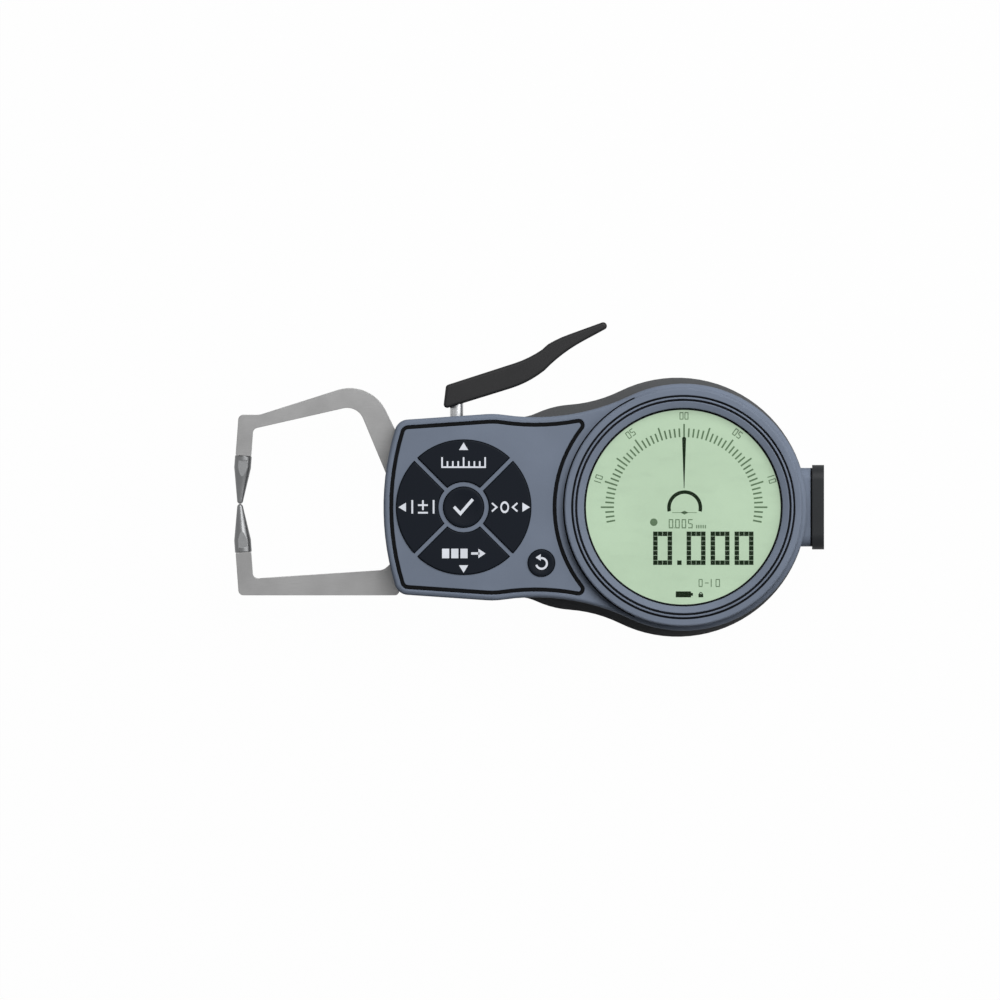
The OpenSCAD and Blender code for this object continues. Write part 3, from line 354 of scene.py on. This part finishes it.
def smoothed(node, redrawn=None):
    """The node's own form, redrawn where asked, with its facets shaded as one curved surface."""
    mesh = nodes[node].data.copy()
    mesh.name = node
    if redrawn:
        redrawn(mesh)
    work = bmesh.new()
    work.from_mesh(mesh)
    bmesh.ops.remove_doubles(work, verts=work.verts, dist=1e-6)
    bmesh.ops.dissolve_degenerate(work, edges=work.edges, dist=1e-6)
    bmesh.ops.dissolve_limit(work, angle_limit=math.radians(0.4), verts=work.verts, edges=work.edges)
    work.to_mesh(mesh)
    work.free()
    mesh.materials.clear()
    piece = place_piece(node + "_form", mesh, finishes[slot_of[node]], degrees=32)
    even = piece.modifiers.new("even_shading", "WEIGHTED_NORMAL")
    even.keep_sharp = True
    stand_for(piece, node)


def spun(name, profile, steps, put):
    """The closed mesh of a profile turned about an axis; put gives each point its place."""
    points = []
    rings = []
    for radius, height in profile:
        count = steps if radius > 0 else 1
        rings.append([len(points) + i for i in range(count)])
        for i in range(count):
            turn = 2 * math.pi * i / steps
            points.append(put(radius * math.cos(turn), radius * math.sin(turn), height))
    faces = []
    for here, after in zip(rings, rings[1:] + rings[:1]):
        for i in range(steps):
            corners = [here[i % len(here)], here[(i + 1) % len(here)],
                       after[(i + 1) % len(after)], after[i % len(after)]]
            face = list(dict.fromkeys(corners))
            if len(face) > 2:
                faces.append(face)
    return mesh_from(name, points, faces)


def lathe(name, profile, finish, centre=(0.0, 0.0), steps=180):
    """A ring or disc turned about an upright axis; the profile is a closed chain of [radius, height]."""
    mesh = spun(name, profile, steps, lambda x, y, z: (centre[0] + x, centre[1] + y, z))
    return place_piece(name, mesh, finish, degrees=30)


def cut_away(mesh, tools):
    """The mesh less the closed form of each tool."""
    blank = new_object("blank", mesh)
    cutters = [new_object("cutter", tool) for tool in tools]
    for cutter in cutters:
        cut = blank.modifiers.new("cut", "BOOLEAN")
        cut.operation = "DIFFERENCE"
        cut.solver = "EXACT"
        cut.object = cutter
    made = final_mesh(blank)
    for used in cutters + [blank]:
        bpy.data.objects.remove(used)
    made.materials.clear()
    return made


def box_mesh(name, low, high, put):
    """A box between two corners; put gives each point its place."""
    across, deep, along = zip(low, high)
    corners = [put(x, y, z) for x in across for y in deep for z in along]
    sides = [[0, 1, 3, 2], [4, 6, 7, 5], [0, 4, 5, 1], [2, 3, 7, 6], [0, 2, 6, 4], [1, 5, 7, 3]]
    return mesh_from(name, corners, sides)


# Outlines are chains of rounds [x, y, radius], hollow where the radius is negative, run anticlockwise


def facing(a, b):
    """Angle at which the line that touches two rounds leaves the first."""
    across, up = b[0] - a[0], b[1] - a[1]
    return math.atan2(up, across) - math.acos((a[2] - b[2]) / math.hypot(across, up))


def outline(rounds, inset, step=math.radians(3)):
    """Points round a chain of rounds, drawn in by inset."""
    points = []
    for i, here in enumerate(rounds):
        start = facing(rounds[i - 1], here)
        end = facing(here, rounds[(i + 1) % len(rounds)])
        turn = (end - start) % (2 * math.pi) if here[2] > 0 else -((start - end) % (2 * math.pi))
        count = max(1, math.ceil(abs(turn) / step))
        for k in range(count + 1):
            angle = start + turn * k / count
            reach = here[2] - inset
            points.append((here[0] + reach * math.cos(angle), here[1] + reach * math.sin(angle)))
    return points


def turned(points, angle, centre=(0.0, 0.0)):
    """Points turned about the origin and then moved to a centre."""
    c, s = math.cos(angle), math.sin(angle)
    return [(centre[0] + x * c - y * s, centre[1] + x * s + y * c) for x, y in points]


def stacked(name, loops, finish):
    """A solid through equal loops of points, closed by a flat face at each end."""
    count = len(loops[0])
    points = [point for loop in loops for point in loop]
    faces = [list(range(count)), list(range(len(points) - count, len(points)))]
    for k in range(len(loops) - 1):
        for i in range(count):
            after = (i + 1) % count
            faces.append([k * count + i, k * count + after, (k + 1) * count + after, (k + 1) * count + i])
    return place_piece(name, mesh_from(name, points, faces), finish)


def printed(name, shapes, height, finish, body, thickness=FILM):
    """Flat marks: each closed outline becomes a thin raised film on the face below it."""
    points = []
    faces = []
    for shape in shapes:
        first = len(points)
        count = len(shape)
        points += [(x, y, height) for x, y in shape]
        points += [(x, y, height + thickness) for x, y in shape]
        faces += [list(range(first, first + count)), list(range(first + count, first + 2 * count))]
        for i in range(count):
            after = (i + 1) % count
            faces.append([first + i, first + after, first + count + after, first + count + i])
    piece = place_piece(name, mesh_from(name, points, faces), finish, degrees=20)
    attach(piece, body)


class Pattern(Tree):
    """A tree of Geometry Nodes with named sizes, which sets one shape at many places."""

    def __init__(self, name, sizes):
        super().__init__(bpy.data.node_groups.new(name, "GeometryNodeTree"))
        sockets = self.node_tree.interface
        sockets.new_socket("Places", in_out="INPUT", socket_type="NodeSocketGeometry")
        sockets.new_socket("Pieces", in_out="OUTPUT", socket_type="NodeSocketGeometry")
        self.keys = {}
        for label in sizes:
            self.keys[label] = self.asked(label, "NodeSocketFloat")
        self.keys["Turn"] = self.asked("Turn", "NodeSocketVector")
        self.keys["Finish"] = self.asked("Finish", "NodeSocketMaterial")
        self.start = self.node_tree.nodes.new("NodeGroupInput")
        self.end = self.node_tree.nodes.new("NodeGroupOutput")

    def asked(self, label, kind):
        made = self.node_tree.interface.new_socket(label, in_out="INPUT", socket_type=kind)
        return made.identifier

    def given(self, label):
        return Value(self, self.start.outputs[label])

    def vector(self, x=0.0, y=0.0, z=0.0):
        return self.node("ShaderNodeCombineXYZ", inputs={0: x, 1: y, 2: z})

    def moved(self, geometry, by):
        return self.node("GeometryNodeTransform", inputs={"Geometry": geometry, "Translation": by})

    def joined(self, *parts):
        made = self.node("GeometryNodeJoinGeometry")
        for part in parts:
            self.node_tree.links.new(part.socket, made.socket.node.inputs[0])
        return made

    def close(self, places, shape, turn, size):
        set_out = self.node("GeometryNodeInstanceOnPoints", inputs={
            "Points": places, "Instance": shape,
            "Rotation": self.node("FunctionNodeEulerToRotation", inputs={0: turn}), "Scale": size})
        real = self.node("GeometryNodeRealizeInstances", inputs={0: set_out})
        dressed = self.node("GeometryNodeSetMaterial", inputs={
            "Geometry": real, "Material": self.given("Finish")})
        self.node_tree.links.new(dressed.socket, self.end.inputs[0])

    def make(self, name, places, values):
        mesh = bpy.data.meshes.new(name)
        mesh.from_pydata([tuple(part * MM for part in place) for place in places], [], [])
        holder = new_object(name + "_places", mesh)
        modifier = holder.modifiers.new("pattern", "NODES")
        modifier.node_group = self.node_tree
        for label, value in values.items():
            modifier[self.keys[label]] = value
        made = final_mesh(holder)
        bpy.data.objects.remove(holder)
        made.name = name
        return place_piece(name, made, values["Finish"], degrees=30)


def dial_mark_pattern():
    """Marks of a round scale: one place per mark, every fifth one longer, all pointing at the centre."""
    p = Pattern("dial_marks", ["Count", "Step", "Inner", "Short", "Long", "Width", "Thickness"])
    index = p.node("GeometryNodeInputIndex")
    along = index - (p.given("Count") - 1.0) * 0.5
    turn = along * p.given("Step")
    fifth = (along % 5.0).below(0.5)
    length = p.given("Short") + fifth * (p.given("Long") - p.given("Short"))
    reach = p.given("Inner") + length * 0.5
    spot = p.vector(turn.maths("SINE", turn) * reach, turn.maths("COSINE", turn) * reach)
    places = p.node("GeometryNodeSetPosition", inputs={"Geometry": p.given("Places"), "Offset": spot})
    p.close(places, p.node("GeometryNodeMeshCube"), p.vector(z=0.0 - turn),
            p.vector(p.given("Width"), length, p.given("Thickness")))
    return p


def cell_pattern():
    """Square display cells, one at each place."""
    p = Pattern("display_cells", ["Width", "Thickness"])
    p.close(p.given("Places"), p.node("GeometryNodeMeshCube"), p.given("Turn"),
            p.vector(p.given("Width"), p.given("Width"), p.given("Thickness")))
    return p


def screw_pattern():
    """Cap screws with a six-sided socket; each place is the middle of a head's outer face."""
    p = Pattern("socket_screws", ["Head Radius", "Head Height", "Shank Radius", "Shank Length",
                                  "Socket Radius", "Socket Depth"])
    tall = p.given("Head Height")
    head = p.moved(p.node("GeometryNodeMeshCylinder", inputs={
        "Vertices": 48, "Radius": p.given("Head Radius"), "Depth": tall}), p.vector(z=tall * -0.5))
    socket = p.node("GeometryNodeMeshCylinder", inputs={
        "Vertices": 6, "Radius": p.given("Socket Radius"), "Depth": p.given("Socket Depth") * 2.0})
    cut = p.node("GeometryNodeMeshBoolean", {"operation": "DIFFERENCE", "solver": "EXACT"},
                 {"Mesh 1": head, "Mesh 2": socket})
    reach = p.given("Shank Length")
    overlap = 0.05 * MM
    shank = p.moved(p.node("GeometryNodeMeshCylinder", inputs={
        "Vertices": 24, "Radius": p.given("Shank Radius"), "Depth": reach}),
        p.vector(z=reach * -0.5 - tall + overlap))
    p.close(p.given("Places"), p.joined(cut, shank), p.given("Turn"), (1.0, 1.0, 1.0))
    return p


# Camera, light and floor

# Width of the picture and the point in its middle, in millimetres, at 3.987 pixels to a millimetre
VIEW_WIDTH = 250.8
VIEW_MIDDLE = (-45.97, 1.81)
VIEW_HEIGHT = 500


def look_down():
    """Straight down on the display, as the photograph looks at it."""
    data = bpy.data.cameras.new("view")
    data.type = "ORTHO"
    data.ortho_scale = VIEW_WIDTH * MM
    camera = new_object("view", data)
    camera.location = (VIEW_MIDDLE[0] * MM, VIEW_MIDDLE[1] * MM, VIEW_HEIGHT * MM)
    bpy.context.scene.camera = camera


def lamp(name, place, aim, size, power):
    """A square light that faces the point aim; places and size are in metres, power in watts."""
    data = bpy.data.lights.new(name, "AREA")
    data.size = size
    data.energy = power
    light = new_object(name, data)
    light.location = place
    away = [a - b for a, b in zip(place, aim)]
    flat = math.hypot(away[0], away[1])
    light.rotation_euler = (math.atan2(flat, away[2]), 0.0, math.atan2(away[0], -away[1]))


def seen_rays(tree):
    """1 for rays that show the background: straight, mirrored or through glass."""
    rays = tree.node("ShaderNodeLightPath").socket.node
    straight = Value(tree, rays.outputs["Is Camera Ray"])
    mirrored = Value(tree, rays.outputs["Is Glossy Ray"])
    through = Value(tree, rays.outputs["Is Transmission Ray"])
    return (straight + mirrored + through).rise(0.0, 1.0)


def studio():
    """A white room that lights little by itself, two lamps, and a white floor."""
    scene = bpy.context.scene
    scene.view_settings.view_transform = "Standard"
    world = bpy.data.worlds.new("studio")
    world.use_nodes = True
    scene.world = world
    air = Tree(world.node_tree)
    back = world.node_tree.nodes["Background"]
    back.inputs["Color"].default_value = WHITE
    room_light = 0.12
    strength = seen_rays(air) * (1 - room_light) + room_light
    world.node_tree.links.new(strength.socket, back.inputs["Strength"])
    lamp("window_light", (0.1, 0.34, 0.54), (-0.04, 0.0, 0.01), 0.4, 3.8)
    lamp("side_light", (0.4, 0.12, 0.45), (-0.03, 0.0, 0.01), 0.4, 1.5)

    floor = Finish("floor_paper", {"Roughness": 0.9, "Specular IOR Level": 0.0})
    fibre = floor.noise(6 * MM, 3.0)
    floor.set("Base Color", floor.mix(fibre, (0.39, 0.39, 0.39, 1.0), (0.41, 0.41, 0.41, 1.0)))
    glow = floor.node("ShaderNodeEmission", inputs={"Color": WHITE, "Strength": 1.0})
    glow_share = 0.985
    paper = Value(floor, floor.shader.outputs[0])
    both = floor.node("ShaderNodeMixShader", inputs={0: seen_rays(floor) * glow_share, 1: paper, 2: glow})
    floor.node_tree.links.new(both.socket, floor.node_tree.nodes["Material Output"].inputs[0])
    half = 3000
    low = -0.02
    corners = [(-half, -half, low), (half, -half, low), (half, half, low), (-half, half, low)]
    place_piece("floor", mesh_from("floor", corners, [[0, 1, 2, 3]]), floor.material)


look_down()
studio()


# Housing, arms and lever keep the forms of their solids, but for the top of the ring round the display

ring_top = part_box("front_housing")[1].z / MM
ring_crown_r = 28.55
ring_foot_r = 29.85
ring_edge_r = 0.5


def flat_ring(mesh):
    """Draws the domed ring round the display out to a flat top with a small rounding."""
    for vertex in mesh.vertices:
        x, y, z = vertex.co / MM
        reach = math.hypot(x, y)
        if z > DECK_TOP + 0.01 and ring_crown_r - 0.05 < reach < ring_foot_r:
            turn = math.asin(min(1.0, (z - DECK_TOP) / (ring_top - DECK_TOP)))
            out = (ring_foot_r - ring_edge_r * (1 - math.cos(turn))) / reach
            up = ring_top - ring_edge_r * (1 - math.sin(turn))
            vertex.co = (x * out * MM, y * out * MM, up * MM)


smoothed("front_housing", redrawn=flat_ring)
for node in ("rear_housing", "moving_arm", "fixed_arm", "thumb_lever", "lever_stem", "battery_sleeve",
             "battery_cap", "cap_gasket", "keypad_plate", "keypad_seal"):
    smoothed(node)


# Contacts

LEAN = math.radians(4.2)
pin_l = 12.1 / math.cos(LEAN)
tip_r = 0.75
collar_r = 2.1
collar_l = 3.1
collar_edge = 0.12
shank_r = 1.0
shank_l = 3.9
seat_gap = 0.01
tip_gap = 0.06


def contact(node, side, lift):
    """Turned pin with a ball end, a cone, two spanner flats and a collar; side is 1 for the upper one."""
    def put(across, deep, along):
        return (CONTACT[0] + across * math.cos(LEAN) + along * math.sin(LEAN),
                CONTACT[1] + lift + side * (along * math.cos(LEAN) - across * math.sin(LEAN)),
                CONTACT[2] + deep)

    seat = pin_l - seat_gap - lift
    ball = [(tip_r * math.cos(math.radians(d)), tip_r + tip_r * math.sin(math.radians(d)))
            for d in range(-84, 1, 7)]
    profile = [(0, 0)] + ball + [
        (collar_r, pin_l - collar_l), (collar_r, seat - collar_edge), (collar_r - collar_edge, seat),
        (shank_r, seat), (shank_r, pin_l + shank_l), (0, pin_l + shank_l)]
    # The boxes that cut the flats reach past the pin on every side but the flat's own
    wide, out = 3, 4
    flat_end = pin_l - 1.2
    flats = [box_mesh("flat", (-wide, min(s * CONTACT_FLAT, s * out), tip_r),
                      (wide, max(s * CONTACT_FLAT, s * out), flat_end), put) for s in (-1, 1)]
    pin = cut_away(spun(node, profile, steps=96, put=put), flats)
    stand_for(place_piece(node + "_pin", pin, finishes["contact_steel"], degrees=8), node)


contact("upper_contact", side=1, lift=tip_gap)
contact("lower_contact", side=-1, lift=0.0)


# Display


def disc_size(node):
    """Radius, underside and top of a round node in the middle of the display, in millimetres."""
    low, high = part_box(node)
    return high.x / MM, low.z / MM, high.z / MM


lcd_r, lcd_low, lcd_top = disc_size("lcd_panel")
window_r, window_low, window_top = disc_size("display_window")
bezel_r, bezel_low, bezel_top = disc_size("display_bezel")
display_r = 24.9
step_r = 26.85


def bezel():
    """Ring over the window: a sloped lip, a flat rim, and two narrow grooves, with black rings set in them
    as painted shade.
    """
    lip = window_top + 0.02
    seat = window_r + 0.1
    groove_in = step_r - 0.22
    groove_out = step_r + 0.3
    groove_low = bezel_top - 0.9
    groove_edge = 0.08
    rim_r = bezel_r - 0.42
    rim_low = bezel_top - 1.2
    rim_edge = 0.12
    rim = [(rim_r - rim_edge + rim_edge * math.cos(a), bezel_top - rim_edge + rim_edge * math.sin(a))
           for a in EDGE_STEPS]
    profile = [(seat, bezel_low), (bezel_r, bezel_low), (bezel_r, rim_low), (rim_r, rim_low)]
    profile += rim + [
        (groove_out + groove_edge, bezel_top), (groove_out, bezel_top - groove_edge),
        (groove_out, groove_low), (groove_in, groove_low),
        (groove_in, bezel_top - 0.26), (groove_in - 0.12, bezel_top - 0.16),
        (display_r + 0.2, lip + 0.36), (display_r + 0.05, lip + 0.28), (display_r, lip + 0.14),
        (display_r, lip), (seat, lip)]
    stand_for(lathe("bezel_ring", profile, finishes["shell_plastic"]), "display_bezel")
    # Painted shade: black rings set in the two grooves stand in for the shade deep inside them
    fill_low = bezel_top - 1.1
    fill_top = bezel_top - 0.4
    for name, inner, outer in (("inner_groove_shade", groove_in, groove_out), ("outer_groove_shade", rim_r, bezel_r)):
        fill = [(inner, fill_low), (outer, fill_low), (outer, fill_top), (inner, fill_top)]
        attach(lathe(name, fill, black_print), HOUSING)


def window():
    """Clear pane, with a black border printed under its edge."""
    bevel = 0.15
    profile = [(0, window_low), (window_r, window_low), (window_r, window_top - bevel),
               (window_r - bevel, window_top), (0, window_top)]
    stand_for(lathe("window_pane", profile, finishes["window_clear"]), "display_window")
    inner = display_r - 0.5
    outer = window_r - 0.3
    low = window_low - 0.03
    high = window_low - 0.01
    border = [(inner, low), (outer, low), (outer, high), (inner, high)]
    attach(lathe("window_border", border, black_print), HOUSING)


def panel():
    """The liquid crystal panel, a plain disc."""
    profile = [(0, lcd_low), (lcd_r, lcd_low), (lcd_r, lcd_top), (0, lcd_top)]
    stand_for(lathe("panel_face", profile, finishes["lcd_glass"]), "lcd_panel")


bezel()
window()
panel()


def bar(left, low, right, high):
    """Outline of a rectangle."""
    return [(left, low), (right, low), (right, high), (left, high)]


def arc(centre, outer, inner, start, end, steps):
    """Outline of a band between two radii, from a start to an end angle in degrees."""
    turns = [math.radians(start + (end - start) * i / steps) for i in range(steps + 1)]
    rim = [(centre[0] + outer * math.cos(a), centre[1] + outer * math.sin(a)) for a in turns]
    core = [(centre[0] + inner * math.cos(a), centre[1] + inner * math.sin(a)) for a in reversed(turns)]
    return rim + core


def disc(centre, radius, steps=32):
    """Outline of a circle."""
    return [(centre[0] + radius * math.cos(2 * math.pi * i / steps),
             centre[1] + radius * math.sin(2 * math.pi * i / steps)) for i in range(steps)]


# Painted shade: a black line along the foot of the housing's raised ring, where the ring crosses the waist,
# stands in for the shade in the crease there

foot_shade = arc((0.0, 0.0), ring_foot_r + 0.35, ring_foot_r - 0.05, 114, 246, 66)
printed("ring_foot_shade", [foot_shade], DECK_TOP - 0.01, black_print, HOUSING)


# Strokes of each sign on a digit: top, upper right, lower right, bottom, lower left, upper left, middle,
# and one upright bar for a one
STROKES = {"0": "abcdef", "1": "h", "5": "afgcd", "-": "g"}


def digit(sign, left, low, width, height, stroke):
    """Bars of one digit; small gaps part the strokes."""
    right, high, middle = left + width, low + height, low + height / 2
    gap = stroke * 0.12
    half = stroke / 2
    strokes = {
        "a": bar(left + gap, high - stroke, right - gap, high),
        "b": bar(right - stroke, middle + gap, right, high - stroke - gap),
        "c": bar(right - stroke, low + stroke + gap, right, middle - gap),
        "d": bar(left + gap, low, right - gap, low + stroke),
        "e": bar(left, low + stroke + gap, left + stroke, middle - gap),
        "f": bar(left, middle + gap, left + stroke, high - stroke - gap),
        "g": bar(left + stroke, middle - half, right - stroke, middle + half),
        "h": bar(left + width / 2 - half, low, left + width / 2 + half, high),
    }
    return [strokes[letter] for letter in STROKES[sign]]


def number(text, left, low, pitch, width, height, stroke):
    """Bars of a row of digits."""
    return [shape for i, sign in enumerate(text)
            for shape in digit(sign, left + i * pitch, low, width, height, stroke)]


DIAL = (0.2, 0.0)
mark_count = 57
mark_z = lcd_top + 0.02


def dial_numbers():
    """Numbers round the scale, each turned with its mark."""
    shapes = []
    for angle, text, reach in ((0, "00", 22.9), (36, "05", 22.8), (-36, "05", 22.8), (72, "10", 23.1),
                               (-72, "10", 22.6)):
        for shape in number(text, left=-1.15, low=-0.92, pitch=1.25, width=1.0, height=1.85, stroke=0.22):
            shapes.append(turned([(x, y + reach) for x, y in shape], math.radians(-angle), DIAL))
    return shapes


def reading_cells():
    """Places of the cells of the large reading: the border of a grid of four by seven for each nought."""
    pitch = 1.208
    low = -13.91
    point_x = -0.98
    places = []
    for left in (-7.0, 1.39, 7.41, 13.42):
        for column in range(4):
            for row in range(7):
                if column in (0, 3) or row in (0, 6):
                    places.append((left + column * pitch, low + row * pitch, mark_z))
    places.append((point_x, low, mark_z))
    return places


marks = dial_mark_pattern().make("dial_marks", [(DIAL[0], DIAL[1], mark_z)] * mark_count, {
    "Count": float(mark_count), "Step": math.radians(3.6), "Inner": 17.6 * MM, "Short": 2.2 * MM,
    "Long": 3.3 * MM, "Width": 0.42 * MM, "Thickness": FILM * MM, "Finish": pale_ink})
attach(marks, HOUSING)
reading = cell_pattern().make("large_reading", reading_cells(), {
    "Width": 1.13 * MM, "Thickness": FILM * MM, "Finish": dark_ink})
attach(reading, HOUSING)

pointer_foot, pointer_head = 4.8, 17.25
pointer = [(-0.08, pointer_foot), (0.08, pointer_foot)]
pointer += [(0.5 * math.cos(a), pointer_head + 0.4 * math.sin(a))
            for a in [math.radians(d) for d in range(0, 181, 30)]]
pointer = [(x + DIAL[0], y) for x, y in pointer]
hub_arc = arc((0.35, -0.15), 4.4, 3.5, -13, 193, 48)
battery_sign = [bar(-1.9, -22.6, 1.95, -21.1), bar(1.95, -22.2, 2.43, -21.5)]
lock_sign = [bar(3.8, -22.6, 5.0, -21.75), arc((4.4, -21.75), 0.45, 0.24, 0, 180, 12)]
printed("dial_pointer", [pointer, hub_arc] + battery_sign + lock_sign, lcd_top, dark_ink, HOUSING)

small_low = -5.3
small_reading = number("0005", left=-3.66, low=small_low, pitch=1.62, width=1.15, height=2.3, stroke=0.26)
small_reading.append(bar(-2.37, small_low, -2.17, -5.05))
unit_mark = [bar(3.2 + 0.45 * k, small_low, 3.43 + 0.45 * k, -4.45) for k in range(6)]
range_low = -20.0
range_reading = []
for sign, left, width in (("0", 3.84, 1.0), ("-", 5.2, 1.4), ("1", 6.5, 1.0), ("0", 8.1, 1.1)):
    range_reading += digit(sign, left, range_low, width, height=2.0, stroke=0.22)
zero_line = [bar(-2.8, -1.42, 3.4, -1.28), [(-0.7, -1.35), (0.3, -1.85), (1.3, -1.35), (0.3, -0.85)]]
state_dot = [disc((-7.4, -3.76), 0.95)]
small_marks = dial_numbers() + small_reading + unit_mark + range_reading + zero_line + state_dot
printed("small_marks", small_marks, lcd_top, pale_ink, HOUSING)


# Keys

KEY_DISC = (-55.1, 0.0)
RETURN_KEY = (-35.6, -14.0)
key_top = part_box("centre_key")[1].z / MM
lip_low = 24.5
lip_top = 25.1
lip_out = 0.33
edge_r = 0.22
dish_in = 0.7
dish_depth = 0.22


def quadrant_rounds(outer=16.85, inner=6.45, side=0.65, corner=0.3):
    """A quarter of the key disc, drawn round the middle of the disc and opening upwards."""
    off = side + corner
    far = math.sqrt((outer - corner) ** 2 - off ** 2)
    near = math.sqrt((inner + corner) ** 2 - off ** 2)
    tilt = math.sqrt(0.5)
    right_far = ((far - off) * tilt, (far + off) * tilt)
    right_near = ((near - off) * tilt, (near + off) * tilt)
    return [(right_far[0], right_far[1], corner), (0.0, 0.0, outer), (-right_far[0], right_far[1], corner),
            (-right_near[0], right_near[1], corner), (0.0, 0.0, -inner),
            (right_near[0], right_near[1], corner)]


rounding = [(key_top - edge_r + edge_r * math.sin(a), edge_r * (1 - math.cos(a))) for a in EDGE_STEPS]


def quadrant_cap(name, angle):
    """Quarter key: a lip that the plate holds down, upright sides and a rounded top edge."""
    levels = [(lip_low, -lip_out), (lip_top, -lip_out), (lip_top, 0.0)]
    levels += rounding + [(key_top, edge_r + 0.06)]
    loops = []
    for height, inset in levels:
        ring = turned(outline(quadrant_rounds(), inset), math.radians(angle), KEY_DISC)
        loops.append([(x, y, height) for x, y in ring])
    stand_for(stacked(name + "_cap", loops, finishes["key_plastic"]), name)


def round_cap(name, centre, radius):
    """Round key with a shallow dish for the fingertip."""
    profile = [(0, lip_low), (radius + lip_out, lip_low), (radius + lip_out, lip_top), (radius, lip_top)]
    profile += [(radius - inset, height) for height, inset in rounding]
    dish = radius - dish_in
    profile += [(dish * k / 6, key_top - dish_depth * (1 - (k / 6) ** 2)) for k in range(6, -1, -1)]
    stand_for(lathe(name + "_cap", profile, finishes["key_plastic"], centre, steps=96), name)


for key, angle in (("up_key", 0), ("left_key", 90), ("down_key", 180), ("right_key", 270)):
    quadrant_cap(key, angle)
round_cap("centre_key", KEY_DISC, 5.05)
round_cap("return_key", RETURN_KEY, 3.35)


def bent_stroke(start, bend, end, width):
    """Outline of a stroke with one mitred bend."""
    sides = []
    for a, b in ((start, bend), (bend, end)):
        reach = math.dist(a, b)
        sides.append(((a[1] - b[1]) / reach, (b[0] - a[0]) / reach))
    mitre = 1 + sides[0][0] * sides[1][0] + sides[0][1] * sides[1][1]
    middle = ((sides[0][0] + sides[1][0]) / mitre, (sides[0][1] + sides[1][1]) / mitre)
    knots = ((start, sides[0]), (bend, middle), (end, sides[1]))
    left = [(p[0] + s[0] * width / 2, p[1] + s[1] * width / 2) for p, s in knots]
    right = [(p[0] - s[0] * width / 2, p[1] - s[1] * width / 2) for p, s in reversed(knots)]
    return left + right


def at(place, shapes):
    """Shapes moved to a place."""
    return [[(x + place[0], y + place[1]) for x, y in shape] for shape in shapes]


arrow = [(-1.15, -0.95), (1.15, -0.95), (0.0, 0.95)]
scale_sign = [bar(-5.6, -1.35, 5.6, -0.95)]
scale_sign += [bar(-5.6 + 1.35 * i, -0.95, -5.2 + 1.35 * i, 1.35 if i % 4 == 0 else 0.35) for i in range(9)]
plus_sign = [(-1.25, 0.3), (-0.22, 0.3), (-0.22, -0.72), (0.22, -0.72), (0.22, 0.3), (1.25, 0.3),
             (1.25, 0.74), (0.22, 0.74), (0.22, 1.76), (-0.22, 1.76), (-0.22, 0.74), (-1.25, 0.74)]
limits_sign = [bar(-2.9, -1.6, -2.45, 1.8), bar(2.45, -1.6, 2.9, 1.8), plus_sign]
limits_sign.append(bar(-1.25, -1.6, 1.25, -1.16))
send_sign = [bar(-5.4 + 2.3 * i, -1.2, -3.6 + 2.3 * i, 1.2) for i in range(3)]
send_sign += [bar(1.9, -0.3, 4.0, 0.3), [(3.7, -1.2), (5.5, 0.0), (3.7, 1.2)]]
zero_sign = [[(x, y * 1.35) for x, y in arc((0.0, 0.0), 1.1, 0.7, 0, 359.9, 32)]]
zero_sign += [bent_stroke((s * 3.2, 1.05), (s * 2.0, 0.0), (s * 3.2, -1.05), 0.42) for s in (-1, 1)]
tick_sign = [bent_stroke((-2.4, 0.1), (-0.8, -1.6), (2.3, 2.0), 0.75)]
back_sign = [arc((0.05, -0.1), 1.6, 1.08, -165, 100, 30), [(-0.15, 0.55), (-0.15, 2.25), (-1.45, 1.4)]]

# Each large key: how its arrow is turned, where arrow and sign stand, and the sign
key_signs = (("up", 0.0, (KEY_DISC[0], 15.3), (KEY_DISC[0], 11.2), scale_sign),
             ("down", math.pi, (KEY_DISC[0], -15.5), (KEY_DISC[0], -11.6), send_sign),
             ("left", math.pi / 2, (-70.5, 0.0), (-65.3, 0.0), limits_sign),
             ("right", -math.pi / 2, (-39.4, 0.0), (-44.8, 0.0), zero_sign))
sign_low = key_top + 0.005
for key, angle, arrow_place, sign_place, sign in key_signs:
    shapes = at(arrow_place, [turned(arrow, angle)]) + at(sign_place, sign)
    printed(key + "_sign", shapes, sign_low, white_ink, body_of[key + "_key"])
dish_sign_low = key_top - 0.2
dish_sign_t = 0.21
for key, place, sign in (("centre", KEY_DISC, tick_sign), ("return", RETURN_KEY, back_sign)):
    printed(key + "_sign", at(place, sign), dish_sign_low, white_ink, body_of[key + "_key"], dish_sign_t)


# Screws with sockets

screws = screw_pattern()


def screw_set(node, places, turn, head, shank, socket):
    """The screws of one node; head, shank and socket are each a radius and a length."""
    sizes = {"Head Radius": head[0], "Head Height": head[1], "Shank Radius": shank[0],
             "Shank Length": shank[1], "Socket Radius": socket[0], "Socket Depth": socket[1]}
    values = {label: size * MM for label, size in sizes.items()}
    values["Turn"] = turn
    values["Finish"] = finishes[slot_of[node]]
    stand_for(screws.make(node + "_set", places, values), node)


column_ring_r = 27.4
column_y = 16.9
head_z = 0.6
turns = [math.radians(a) for a in (58, 125, -125, -58)]
housing_places = [(column_ring_r * math.cos(a), column_ring_r * math.sin(a), head_z) for a in turns]
housing_places += [(x, y, head_z) for x, y in ((-43.0, column_y), (-43.0, -column_y), (-63.0, column_y))]
screw_set("housing_screws", housing_places, (math.pi, 0.0, 0.0),
          head=(1.9, 1.6), shank=(1.0, 17.0), socket=(1.1, 0.9))

cap_head_r = 1.44
cap_low, cap_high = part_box("cap_screws")
cap_x = cap_high.x / MM
cap_y = cap_high.y / MM - cap_head_r
cap_z = (cap_low.z + cap_high.z) / 2 / MM
screw_set("cap_screws", [(cap_x, cap_y, cap_z), (cap_x, -cap_y, cap_z)], (0.0, math.pi / 2, 0.0),
          head=(cap_head_r, 1.1), shank=(0.8, 8.2), socket=(0.8, 0.7))
